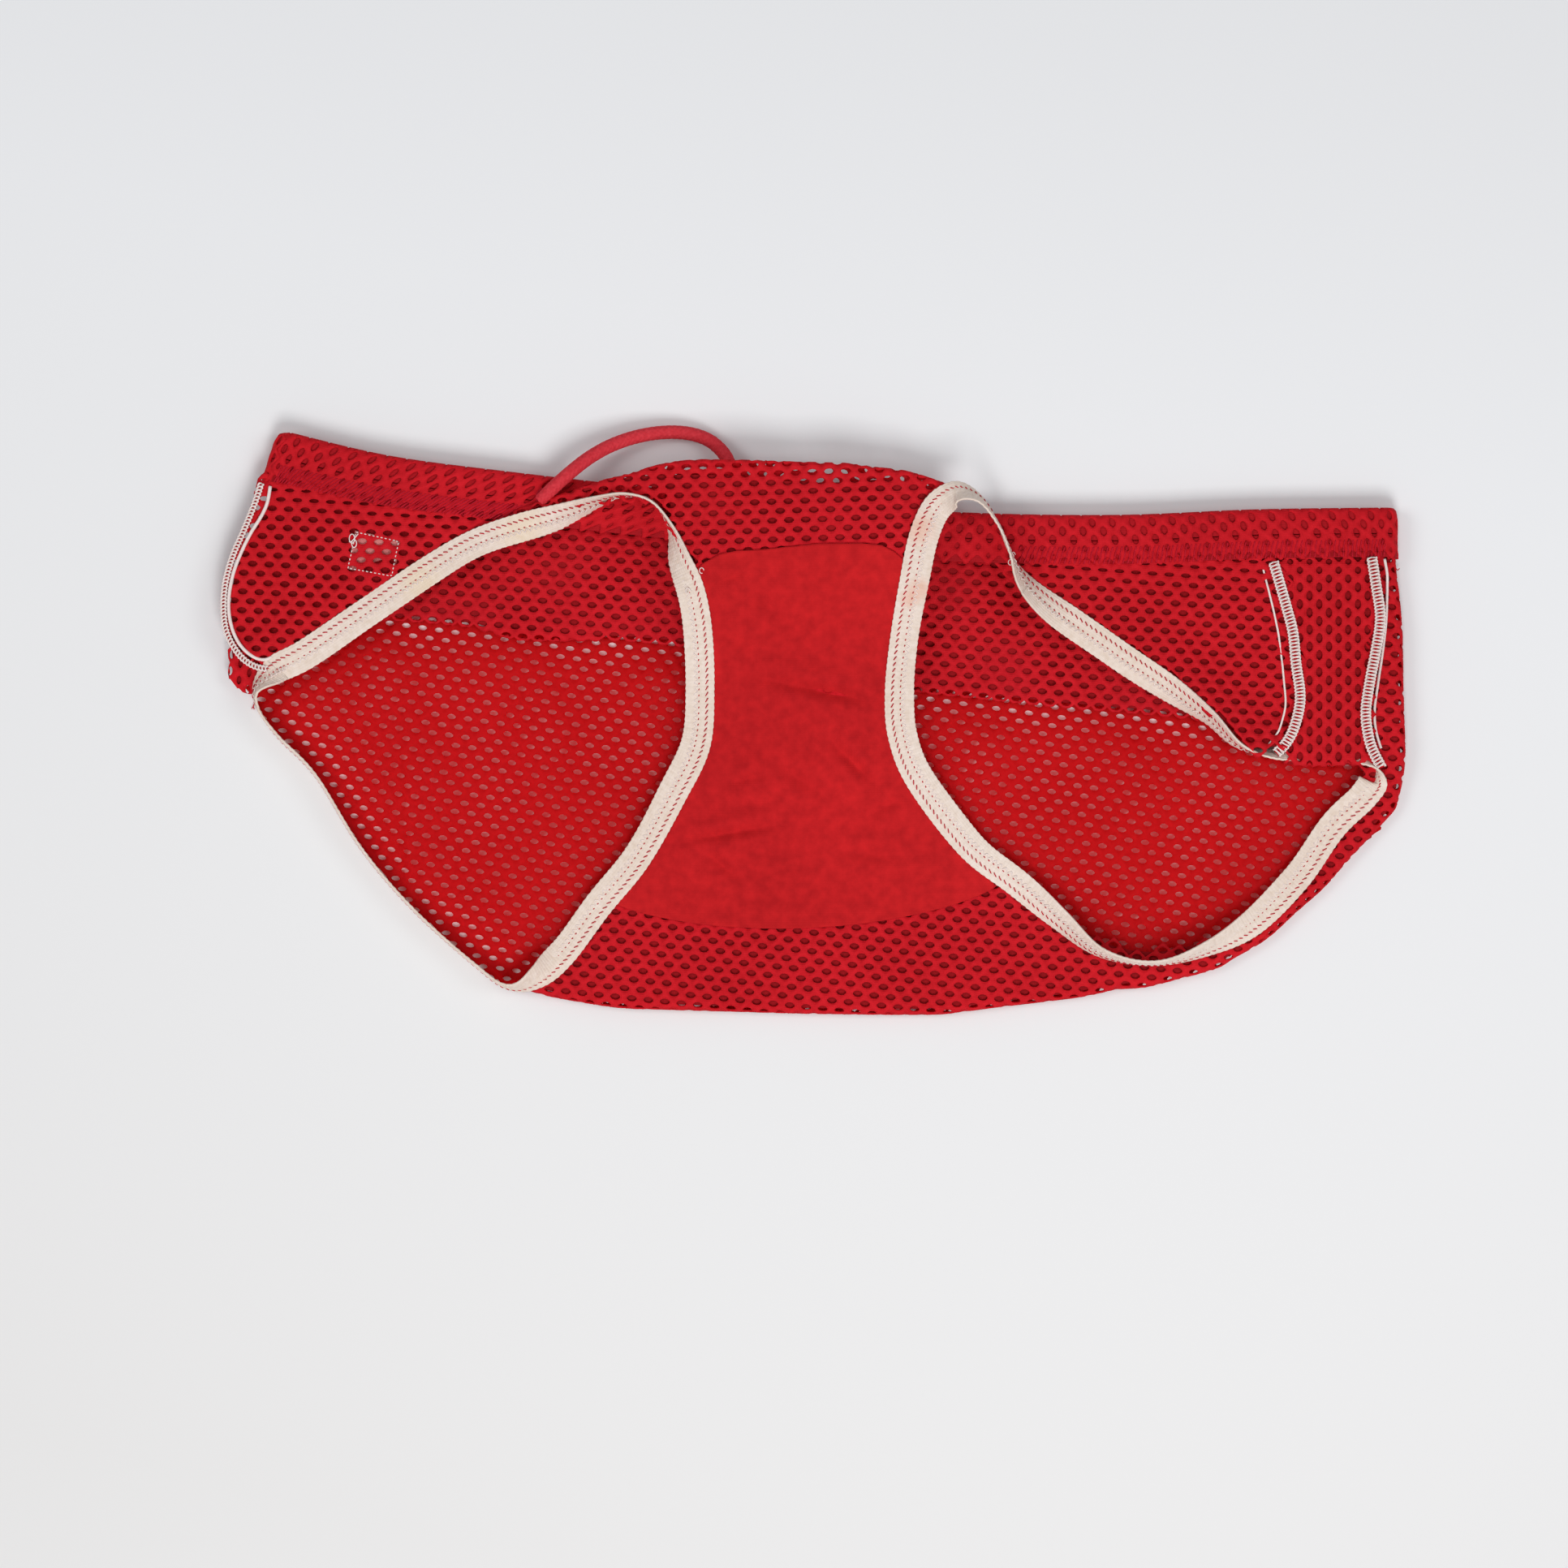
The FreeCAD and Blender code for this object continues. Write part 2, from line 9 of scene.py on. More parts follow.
import bpy
import numpy as np
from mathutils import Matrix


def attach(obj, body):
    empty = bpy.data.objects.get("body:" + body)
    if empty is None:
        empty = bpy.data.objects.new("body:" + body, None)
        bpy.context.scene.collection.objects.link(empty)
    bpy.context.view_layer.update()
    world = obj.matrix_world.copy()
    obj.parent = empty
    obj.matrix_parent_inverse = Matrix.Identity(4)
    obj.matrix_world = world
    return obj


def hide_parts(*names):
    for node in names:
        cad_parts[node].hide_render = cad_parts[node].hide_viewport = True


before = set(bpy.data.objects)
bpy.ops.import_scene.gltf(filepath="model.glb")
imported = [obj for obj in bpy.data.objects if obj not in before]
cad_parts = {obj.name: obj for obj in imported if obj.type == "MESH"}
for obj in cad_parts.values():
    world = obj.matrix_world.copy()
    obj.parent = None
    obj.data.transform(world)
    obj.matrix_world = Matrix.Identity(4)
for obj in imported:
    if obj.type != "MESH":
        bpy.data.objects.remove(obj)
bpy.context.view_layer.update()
MM = 0.001

# %% [markdown]
# The camera looks straight down from over the table, with a short telephoto lens so that the brief isn't
# distorted.

# %% Camera
VIEW_CENTRE = (-10.0, -19.8)
VIEW_WIDTH = 521.6
LENS, SENSOR = 85.0, 36.0
camera_data = bpy.data.cameras.new("overhead_camera")
camera_data.lens = LENS
camera_data.sensor_width = SENSOR
camera = bpy.data.objects.new("overhead_camera", camera_data)
camera.location = (VIEW_CENTRE[0] * MM, VIEW_CENTRE[1] * MM, VIEW_WIDTH * LENS / SENSOR * MM)
bpy.context.scene.collection.objects.link(camera)
bpy.context.scene.camera = camera
print("camera height", round(camera.location.z, 3))

# %% [markdown]
# Every piece ends the same way: it rides on the one body, takes its material, and hides the plain
# solids it stands for. Two more helpers select one piece for an operator and give a sheet its thickness.


# %% Helpers for finished pieces
def pick(piece):
    """Makes one piece the only selected and active one."""
    bpy.ops.object.select_all(action="DESELECT")
    piece.select_set(True)
    bpy.context.view_layer.objects.active = piece


def settle(piece, material, slot, *nodes):
    piece.data.materials.clear()
    piece.data.materials.append(material)
    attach(piece, "root")
    if nodes:
        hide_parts(*nodes)
    print(piece.name, len(piece.data.polygons), "faces")
    return piece


def thicken(piece, thick, offset=0.0):
    """Gives a sheet its thickness, half on each side unless offset says otherwise."""
    pick(piece)
    bpy.ops.object.modifier_add(type="SOLIDIFY")
    wall = piece.modifiers[-1]
    wall.thickness = thick * MM
    wall.offset = offset
    wall.use_even_offset = False
    bpy.ops.object.modifier_apply(modifier=wall.name)


def make_mesh(name, points, faces, coords=None):
    """A mesh from places in millimetres, with a flat cloth coordinate for each point."""
    mesh = bpy.data.meshes.new(name)
    mesh.from_pydata((np.asarray(points) * MM).tolist(), [], [list(f) for f in faces])
    if coords is not None:
        layer = mesh.uv_layers.new(name="cloth")
        index = np.empty(len(mesh.loops), dtype=np.int32)
        mesh.loops.foreach_get("vertex_index", index)
        layer.data.foreach_set("uv", (np.asarray(coords)[index] * MM).ravel())
    mesh.polygons.foreach_set("use_smooth", np.ones(len(mesh.polygons), dtype=bool))
    piece = bpy.data.objects.new(name, mesh)
    bpy.context.scene.collection.objects.link(piece)
    return piece


# %% [markdown]
# Outlines are short lists of points, rounded by a Catmull-Rom curve. For a point of cloth the
# nearest place on such an edge tells how far past the edge it is, which is what folding needs.


# %% Helpers for curves and folds
def smooth(points, steps=8, closed=False):
    p = np.asarray(points, dtype=float)
    count = len(p)
    rows = []
    for i in range(count if closed else count - 1):
        if closed:
            a, b, c, d = (p[(i + k) % count] for k in (-1, 0, 1, 2))
        else:
            a, b, c, d = p[max(i - 1, 0)], p[i], p[i + 1], p[min(i + 2, count - 1)]
        for t in np.arange(steps) / steps:
            rows.append(0.5 * (2 * b + (c - a) * t + (2 * a - 5 * b + 4 * c - d) * t ** 2
                               + (3 * b - a - 3 * c + d) * t ** 3))
    if not closed:
        rows.append(p[-1])
    return np.array(rows)


def even(points, step):
    """The same line with points a fixed step apart. Anything after x, y and z is carried along."""
    p = np.asarray(points, dtype=float)
    run = np.concatenate([[0], np.cumsum(np.linalg.norm(np.diff(p[:, :3], axis=0), axis=1))])
    count = max(2, int(round(run[-1] / step)) + 1)
    at = np.linspace(0, run[-1], count)
    return np.stack([np.interp(at, run, p[:, k]) for k in range(p.shape[1])], -1)


def strip_points(line, shift):
    """A line moved sideways, to the right of its direction."""
    ahead = np.gradient(line, axis=0)
    ahead /= np.linalg.norm(ahead, axis=1)[:, None]
    return line + np.column_stack([ahead[:, 1], -ahead[:, 0]]) * shift


def nearest(chain, pts):
    """How far pts lie to the right of a chain, the nearest place on it and the way out."""
    a, run = chain[:-1], np.diff(chain, axis=0)
    square = (run ** 2).sum(1)
    t = np.clip(((pts[:, None] - a) * run).sum(-1) / square, 0, 1)
    foot = a + t[..., None] * run
    gap = pts[:, None] - foot
    best = np.argmin((gap ** 2).sum(-1), axis=1)
    row = np.arange(len(pts))
    foot, gap, run = foot[row, best], gap[row, best], run[best]
    side = np.where(run[:, 0] * gap[:, 1] - run[:, 1] * gap[:, 0] < 0, 1.0, -1.0)
    far = np.linalg.norm(gap, axis=1)
    normal = np.stack([run[:, 1], -run[:, 0]], -1) / np.sqrt(square[best])[:, None]
    away = np.where(far[:, None] > 1e-4, gap * (side / np.maximum(far, 1e-9))[:, None], normal)
    return far * side, foot, away


def inside(outline, pts):
    """Which points lie inside a closed outline."""
    x, y = pts[:, 0], pts[:, 1]
    found = np.zeros(len(pts), dtype=bool)
    for (x0, y0), (x1, y1) in zip(outline, np.roll(outline, -1, axis=0)):
        cross = (y0 > y) != (y1 > y)
        at = x0 + (y - y0) * (x1 - x0) / (y1 - y0 if y1 != y0 else 1e-9)
        found ^= cross & (x < at)
    return found


def curl(pts, chain, radius, top, low=None):
    """Lays cloth level at height top and turns it down round an edge, and back underneath."""
    out, foot, away = nearest(chain, pts)
    s = out + radius
    turn = np.clip(s / radius, 0, math.pi)
    reach = -radius + radius * np.sin(turn) - np.clip(s - math.pi * radius, 0, None)
    xy = np.where((s > 0)[:, None], foot + away * reach[:, None], pts)
    z = top(xy) - np.where(s > 0, radius * (1 - np.cos(turn)), 0)
    if low is not None:
        z = np.where(s > math.pi * radius, np.minimum(z, low(xy)), z)
    return np.column_stack([xy, z])


def snap(pts, chain, top):
    """Level cloth whose edge is pulled in to a line."""
    out, foot, _ = nearest(chain, pts)
    xy = np.where((out > 0)[:, None], foot, pts)
    return np.column_stack([xy, top(xy)])


def waves(pts, size, length, phase=0.0):
    """Soft unevenness of laid cloth, about as deep as size."""
    x, y = pts[:, 0] / length, pts[:, 1] / length
    return size / 2 * (np.sin(2.1 * x + 1.3 * y + phase) + 0.7 * np.sin(-1.2 * x + 2.4 * y + 2 * phase)
                       + 0.5 * np.sin(3.4 * x - 0.6 * y + 3 * phase))


# %% [markdown]
# The mesh cloth is a knitted net: rows of oval holes, each row set half a hole over. One cell is a hole
# with ten points round it inside a six-sided patch, and cells share their borders. The holes are real
# openings, so the table and the layers below show through them. Cells are laid over a region of flat
# cloth, and a function then carries each point to its place on the folded brief.

# %% The net of the mesh cloth
NET_WAIST = 0.35
NET_ANGLES = np.radians([-14, 14, 55, 90, 125, 166, 194, 235, 270, 305])
CLOTH = 0.7
BACKING = 0.3


def cloth_net(name, centre, reach, turn, region, lay, pitch=5.5, row=3.1, hole=(3.3, 2.1), fit=None):
    """A holed sheet over the part of the plane inside region. fit scales holes by their place."""
    across, up = int(reach / pitch) + 2, int(reach / row) + 2
    j, i = np.mgrid[-up:up + 1, -across:across + 1]
    cells = np.stack([(i + 0.5 * (j % 2)) * pitch, j * row], -1).reshape(-1, 2)
    c, s = math.cos(math.radians(turn)), math.sin(math.radians(turn))
    spin = np.array([[c, s], [-s, c]])
    cells = cells[inside(np.asarray(region), cells @ spin + centre)]
    half, tip = pitch / 2, row - NET_WAIST
    mid = (NET_WAIST + tip) / 2
    border = np.array([(half, -NET_WAIST), (half, NET_WAIST), (half / 2, mid), (0, tip), (-half / 2, mid),
                       (-half, NET_WAIST), (-half, -NET_WAIST), (-half / 2, -mid), (0, -tip),
                       (half / 2, -mid)])
    ring = np.stack([np.cos(NET_ANGLES) * hole[0] / 2, np.sin(NET_ANGLES) * hole[1] / 2], -1)
    size = np.ones((len(cells), 2)) if fit is None else fit(cells @ spin + centre)
    shared, index = np.unique(np.round((cells[:, None] + border).reshape(-1, 2), 3), axis=0,
                              return_inverse=True)
    index = index.reshape(-1, 10)
    rings = (cells[:, None] + ring * size[:, None]).reshape(-1, 2)
    inner = len(shared) + np.arange(len(rings)).reshape(-1, 10)
    flat = np.vstack([shared, rings])
    faces = np.stack([index, np.roll(index, -1, 1), np.roll(inner, -1, 1), inner], -1).reshape(-1, 4)
    piece = make_mesh(name, lay(flat @ spin + centre), faces.tolist(), flat)
    thicken(piece, CLOTH)
    extent = np.ptp(flat, axis=0)
    solid = pitch * row - math.pi / 4 * hole[0] * hole[1]
    cut = (min(extent) * MM, max(extent) * MM, len(cells) * solid * MM * MM)
    print(name, len(cells), "holes, cut", [round(v, 4) for v in cut])
    return piece, cut


def grid_sheet(name, left, right, count, lay, thick):
    """An unholed sheet stretched between two lines, as a grid of count cells."""
    rows, columns = count
    a, b = (even(smooth(side), 0.5) for side in (left, right))
    a, b = (np.stack([np.interp(np.linspace(0, 1, rows + 1), np.linspace(0, 1, len(s)), s[:, k])
                      for k in range(2)], -1) for s in (a, b))
    share = np.linspace(0, 1, columns + 1)[None, :, None]
    flat = (a[:, None] * (1 - share) + b[:, None] * share).reshape(-1, 2)
    wide = columns + 1
    faces = [(r * wide + c, (r + 1) * wide + c, (r + 1) * wide + c + 1, r * wide + c + 1)
             for r in range(rows) for c in range(columns)]
    piece = make_mesh(name, lay(flat), faces, flat)
    if piece.data.polygons[0].normal.z < 0:
        piece.data.flip_normals()
    thicken(piece, thick)
    return piece


# %% [markdown]
# Threads are thin tubes along a line. One helper makes a tube of few sides, and another scatters short
# stitches. All the stitches of one row are one piece.


# %% Helpers for threads
def tube_points(path, radius, sides):
    """Rings of points round a line, and the faces between them, closed at both ends."""
    path = np.asarray(path, dtype=float)
    ahead = np.gradient(path, axis=0)
    ahead /= np.linalg.norm(ahead, axis=1)[:, None]
    ref = np.where(np.abs(ahead[:, 2:3]) > 0.9, [[1.0, 0, 0]], [[0, 0, 1.0]])
    side = np.cross(ahead, ref)
    side /= np.linalg.norm(side, axis=1)[:, None]
    up = np.cross(side, ahead)
    angle = np.arange(sides) / sides * 2 * math.pi
    rings = (path[:, None] + radius * (side[:, None] * np.cos(angle)[None, :, None]
                                       + up[:, None] * np.sin(angle)[None, :, None]))
    count = len(path)
    k = np.arange(sides)
    faces = [[r * sides + a, r * sides + (a + 1) % sides,
              (r + 1) * sides + (a + 1) % sides, (r + 1) * sides + a]
             for r in range(count - 1) for a in k]
    faces.append(list(reversed(range(sides))))
    faces.append(list(range((count - 1) * sides, count * sides)))
    return rings.reshape(-1, 3), faces


def threads(name, paths, radius, sides=5):
    points, faces, base = [], [], 0
    for path in paths:
        more, ring_faces = tube_points(path, radius, sides)
        points.append(more)
        faces += [[int(v) + base for v in face] for face in ring_faces]
        base += len(more)
    points = np.vstack(points)
    piece = make_mesh(name, points, faces, points[:, :2])
    pick(piece)
    bpy.ops.object.mode_set(mode="EDIT")
    bpy.ops.mesh.select_all(action="SELECT")
    bpy.ops.mesh.normals_make_consistent(inside=False)
    bpy.ops.object.mode_set(mode="OBJECT")
    return piece

# %% [markdown]
# Every cloth has yarn. This shared group takes the flat cloth coordinate and gives two things: a height
# for the rows of loops, and a fleck that makes some yarns a little darker. The number of loops along and
# across is set where the group is used, since jersey is far finer than the elastic's weave.

# %% Shared yarn group
yarn = bpy.data.node_groups.new("yarn_relief", "ShaderNodeTree")
for socket, default in (("Loops along", 1600.0), ("Loops across", 1600.0), ("Fleck size", 300.0)):
    made = yarn.interface.new_socket(socket, in_out="INPUT", socket_type="NodeSocketFloat")
    made.default_value = default
yarn.interface.new_socket("Cloth", in_out="INPUT", socket_type="NodeSocketVector")
yarn.interface.new_socket("Height", in_out="OUTPUT", socket_type="NodeSocketFloat")
yarn.interface.new_socket("Fleck", in_out="OUTPUT", socket_type="NodeSocketFloat")


def math_node(tree, operation, *values):
    node = tree.nodes.new("ShaderNodeMath")
    node.operation = operation
    for slot, value in zip(node.inputs, values):
        if isinstance(value, (int, float)):
            slot.default_value = value
        else:
            tree.links.new(value, slot)
    return node.outputs[0]


group_in = yarn.nodes.new("NodeGroupInput")
group_out = yarn.nodes.new("NodeGroupOutput")
split = yarn.nodes.new("ShaderNodeSeparateXYZ")
yarn.links.new(group_in.outputs["Cloth"], split.inputs[0])
along_wave = math_node(yarn, "SINE", math_node(yarn, "MULTIPLY", split.outputs[0],
                                               math_node(yarn, "MULTIPLY", group_in.outputs[0], math.tau)))
across_wave = math_node(yarn, "SINE", math_node(yarn, "MULTIPLY", split.outputs[1],
                                                math_node(yarn, "MULTIPLY", group_in.outputs[1], math.tau)))
loops = math_node(yarn, "MULTIPLY", math_node(yarn, "ADD", along_wave, across_wave), 0.25)
grain = yarn.nodes.new("ShaderNodeTexNoise")
grain.inputs["Detail"].default_value = 3.0
yarn.links.new(group_in.outputs["Cloth"], grain.inputs["Vector"])
yarn.links.new(group_in.outputs["Fleck size"], grain.inputs["Scale"])
height = math_node(yarn, "ADD", math_node(yarn, "ADD", loops, 0.5),
                   math_node(yarn, "MULTIPLY", grain.outputs["Fac"], 0.6))
yarn.links.new(height, group_out.inputs["Height"])
yarn.links.new(grain.outputs["Fac"], group_out.inputs["Fleck"])
print("yarn group", len(yarn.nodes), "nodes")


# %% [markdown]
# A cloth material mixes a darker and a lighter dye by the fleck, and its bump comes from the loops. Broad,
# soft patches of wear vary it over several centimetres. The dyes are given as they would be mixed, in
# linear light.


# %% Cloth materials
def cloth_material(name, dark, light, loops, fleck=300.0, depth=0.12, rough=0.8, sheen=0.15, stain=None,
                   through=0.0):
    material = bpy.data.materials.new(name)
    material.use_nodes = True
    tree = material.node_tree
    shader = tree.nodes["Principled BSDF"]
    shader.inputs["Roughness"].default_value = rough
    shader.inputs["Specular IOR Level"].default_value = 0.18
    shader.inputs["Sheen Weight"].default_value = sheen
    shader.inputs["Sheen Roughness"].default_value = 0.6
    shader.inputs["Sheen Tint"].default_value = (*light, 1)
    uv = tree.nodes.new("ShaderNodeUVMap")
    uv.uv_map = "cloth"
    group = tree.nodes.new("ShaderNodeGroup")
    group.node_tree = yarn
    group.inputs["Loops along"].default_value = loops[0]
    group.inputs["Loops across"].default_value = loops[1]
    group.inputs["Fleck size"].default_value = fleck
    tree.links.new(uv.outputs[0], group.inputs["Cloth"])
    place = tree.nodes.new("ShaderNodeTexCoord")
    wear = tree.nodes.new("ShaderNodeTexNoise")
    wear.inputs["Scale"].default_value = 22.0
    wear.inputs["Detail"].default_value = 2.0
    tree.links.new(place.outputs["Object"], wear.inputs["Vector"])
    blend = math_node(tree, "ADD", math_node(tree, "MULTIPLY", group.outputs["Fleck"], 0.65),
                      math_node(tree, "MULTIPLY", wear.outputs["Fac"], 0.35))
    ramp = tree.nodes.new("ShaderNodeValToRGB")
    ramp.color_ramp.elements[0].position, ramp.color_ramp.elements[1].position = 0.35, 0.68
    ramp.color_ramp.elements[0].color = (*dark, 1)
    ramp.color_ramp.elements[1].color = (*light, 1)
    tree.links.new(blend, ramp.inputs["Fac"])
    colour = ramp.outputs["Color"]
    if stain is not None:
        colour = stain(tree, place.outputs["Object"], colour)
    tree.links.new(colour, shader.inputs["Base Color"])
    bump = tree.nodes.new("ShaderNodeBump")
    bump.inputs["Strength"].default_value = 0.7
    bump.inputs["Distance"].default_value = depth * MM
    tree.links.new(group.outputs["Height"], bump.inputs["Height"])
    tree.links.new(bump.outputs["Normal"], shader.inputs["Normal"])
    if through > 0:
        thin = tree.nodes.new("ShaderNodeBsdfTranslucent")
        thin.inputs["Color"].default_value = (0.95, 0.035, 0.045, 1)
        mix = tree.nodes.new("ShaderNodeMixShader")
        mix.inputs[0].default_value = through
        tree.links.new(shader.outputs[0], mix.inputs[1])
        tree.links.new(thin.outputs[0], mix.inputs[2])
        tree.links.new(mix.outputs[0], tree.nodes["Material Output"].inputs["Surface"])
    return material


def rust_stains(tree, place, colour):
    """Faint orange-pink marks on the elastic, where dye has crept into it."""
    for x, y, size in ((34, 64, 7), (34.5, 44, 5), (31, 41, 4), (-130, 47, 9), (-96, 64, 10)):
        spot = tree.nodes.new("ShaderNodeVectorMath")
        spot.operation = "DISTANCE"
        flat = tree.nodes.new("ShaderNodeVectorMath")
        flat.operation = "MULTIPLY"
        flat.inputs[1].default_value = (1, 1, 0)
        tree.links.new(place, flat.inputs[0])
        tree.links.new(flat.outputs[0], spot.inputs[0])
        spot.inputs[1].default_value = (x * MM, y * MM, 0)
        fade = tree.nodes.new("ShaderNodeMapRange")
        fade.inputs["From Min"].default_value = size * 0.3 * MM
        fade.inputs["From Max"].default_value = size * MM
        fade.inputs["To Min"].default_value = 0.45 if x > 0 else 0.3
        fade.inputs["To Max"].default_value = 0.0
        tree.links.new(spot.outputs["Value"], fade.inputs["Value"])
        mix = tree.nodes.new("ShaderNodeMix")
        mix.data_type = "RGBA"
        tree.links.new(fade.outputs[0], mix.inputs[0])
        tree.links.new(colour, mix.inputs[6])
        mix.inputs[7].default_value = (0.78, 0.36, 0.24, 1) if x > 0 else (0.80, 0.62, 0.36, 1)
        colour = mix.outputs[2]
    return colour


MESH_RED = cloth_material("mesh_red", (0.62, 0.007, 0.015), (0.82, 0.014, 0.026), (1500, 1500), 420, 0.10,
                          through=0.28)
SINGLE_RED = cloth_material("single_mesh_red", (0.60, 0.014, 0.020), (0.80, 0.024, 0.032), (1500, 1500), 420,
                            0.10, through=0.72)
# Dark red for the unholed backing sheets: painted shade, standing for the shade deep in the layers of net
# below.
PAINTED_SHADE_RED = cloth_material("inner_mesh_red_painted_shade", (0.25, 0.002, 0.005), (0.34, 0.004, 0.008), (1500, 1500))
JERSEY_RED = cloth_material("jersey_red", (0.42, 0.006, 0.009), (0.60, 0.011, 0.014), (1050, 1700), 260, 0.10,
                            0.9, 0.1)
TAPE_CREAM = cloth_material("elastic_cream", (0.74, 0.60, 0.50), (0.86, 0.74, 0.66), (900, 1250), 500, 0.12,
                            0.8, 0.1, stain=rust_stains)
TAPE_RED = cloth_material("elastic_red", (0.33, 0.003, 0.008), (0.42, 0.005, 0.011), (900, 1250), 400, 0.12)
CORD_RED = cloth_material("cord_red", (0.58, 0.022, 0.034), (0.72, 0.045, 0.062), (2600, 2600), 700, 0.10,
                          0.7, 0.25)
THREAD_PALE = cloth_material("thread_pale", (0.80, 0.68, 0.64), (0.90, 0.80, 0.77), (2500, 2500), 900, 0.05)
THREAD_RED = cloth_material("thread_red", (0.45, 0.006, 0.02), (0.60, 0.012, 0.035), (2500, 2500), 900, 0.05)
LABEL_PALE = cloth_material("label_pale", (0.62, 0.19, 0.18), (0.80, 0.30, 0.28), (1500, 1500), 300, 0.06)
print("materials", len(bpy.data.materials))

# %% [markdown]
# The drawcord comes first of the pieces. It leaves one worked hole in the waistband, lies in an arc beyond
# the waistband and goes back into the other. The route is one smooth NURBS line through these points, and
# the braid is modelled on it: eight strands, each way round, rise and dive over each other.

# %% Drawcord
CORD_WIDE = 4.6
CORD_ROUTE = [
    (-90.2, 73.7, 11.0), (-87.8, 76.0, 12.3), (-84.5, 79.2, 12.6), (-80.3, 83.0, 12.0),
    (-74.4, 88.0, 9.8), (-66.4, 92.8, 7.0), (-56.0, 96.2, 4.8), (-45.0, 97.2, 3.7), (-35.8, 95.2, 3.6),
    (-29.9, 90.2, 5.2), (-27.5, 84.6, 8.4), (-26.1, 79.8, 11.4), (-24.9, 75.2, 12.6),
    (-24.2, 71.0, 12.3), (-23.7, 67.7, 11.0)]
route_data = bpy.data.curves.new("drawcord_route", "CURVE")
route_data.dimensions = "3D"
route_data.resolution_u = 24
route = route_data.splines.new("NURBS")
route.points.add(len(CORD_ROUTE) - 1)
for point, place in zip(route.points, CORD_ROUTE):
    point.co = (*(v * MM for v in place), 1)
route.order_u = 3
route.use_endpoint_u = True
route_object = bpy.data.objects.new("drawcord_route", route_data)
bpy.context.scene.collection.objects.link(route_object)
route_mesh = bpy.data.meshes.new_from_object(route_object)
cord_line = even(np.array([v.co[:] for v in route_mesh.vertices]) / MM, 0.3)
bpy.data.objects.remove(route_object)

CORD_SIDES, STRANDS, LAY_LENGTH = 40, 8, 15.0
cord_points, cord_faces = tube_points(cord_line, CORD_WIDE / 2 - 0.18, CORD_SIDES)
ring_no = np.arange(len(cord_points)) // CORD_SIDES
angle = (np.arange(len(cord_points)) % CORD_SIDES) / CORD_SIDES * math.tau
travel = ring_no * 0.3 / LAY_LENGTH * math.tau
one_way = np.cos(STRANDS / 2 * (angle + travel))
other_way = np.cos(STRANDS / 2 * (angle - travel))
relief = 0.36 * np.maximum(one_way ** 2, other_way ** 2) - 0.18
outward = cord_points - cord_line[ring_no]
cord_points = cord_line[ring_no] + outward * (1 + relief / (CORD_WIDE / 2))[:, None]
cord_coords = np.column_stack([ring_no * 0.3, angle / math.tau * math.pi * CORD_WIDE])
drawcord = make_mesh("drawcord_braid", cord_points, cord_faces, cord_coords)
drawcord.data.flip_normals()
settle(drawcord, CORD_RED, "red_cord", "drawcord")

# %% [markdown]
# The heights of the layers. The back panel lies on the table, the front and side panels lie near the top
# of the waistband, and the crotch strap slopes up from the crotch to the raised fold beyond the waist.

# %% Heights of the layers
BACK_LEVEL = 0.36
PLEAT_LEVEL = 2.45
WRAP_TOP = 5.35
FRONT_LEVEL = 8.25
BAND_HIGH = 9.6
STRAP_Y = [-60, -40, -10, 10, 30, 50, 58, 70]
STRAP_Z = [5.35, 5.9, 7.4, 9.1, 11.9, 15.6, 16.9, 17.4]
FOLD_RADIUS = 0.9


def strap_height(pts):
    """The crotch strap, lower to the left where it narrows into the bridge."""
    level = np.interp(pts[:, 1], STRAP_Y, STRAP_Z)
    bridge = np.interp(pts[:, 0], [-104, -84, -69, -55, -45], [8.9, 13.6, 16.6, 17.2, 17.5])
    return np.minimum(level, np.where(pts[:, 1] > 60, bridge, 99))


LEFT_LEG = [
    (-180.5, 21.6, 8.9, 0), (-170, 27.5, 8.9, 0), (-150, 41, 8.9, 0), (-130, 54.5, 8.9, 0),
    (-114, 63.6, 9.4, 0), (-98, 69.3, 11.5, -12), (-85, 72.3, 14.8, -38), (-72, 74.8, 18.1, -72),
    (-62, 75.8, 19.9, -90), (-53, 73, 19.9, -94), (-46, 65, 18.7, -78), (-41, 56, 17.3, -40),
    (-36.5, 46, 15.5, -8), (-33.8, 32, 12.9, 0), (-33, 12, 10.0, 0), (-34.5, -8, 8.2, 0),
    (-43, -26, 7.3, 0), (-55, -47, 6.4, 0), (-68, -63, 6.0, 0), (-80, -79, 6.0, 0),
    (-90, -86.5, 5.4, 40), (-101, -87.5, 2.4, 78), (-113, -79, 0.9, 84), (-133, -61, 0.6, 84),
    (-150, -41, 0.6, 84), (-165, -17, 0.6, 84), (-177.5, -4, 0.6, 84), (-184, 5.5, 1.2, 84),
    (-185.5, 12.5, 4.4, 62)]
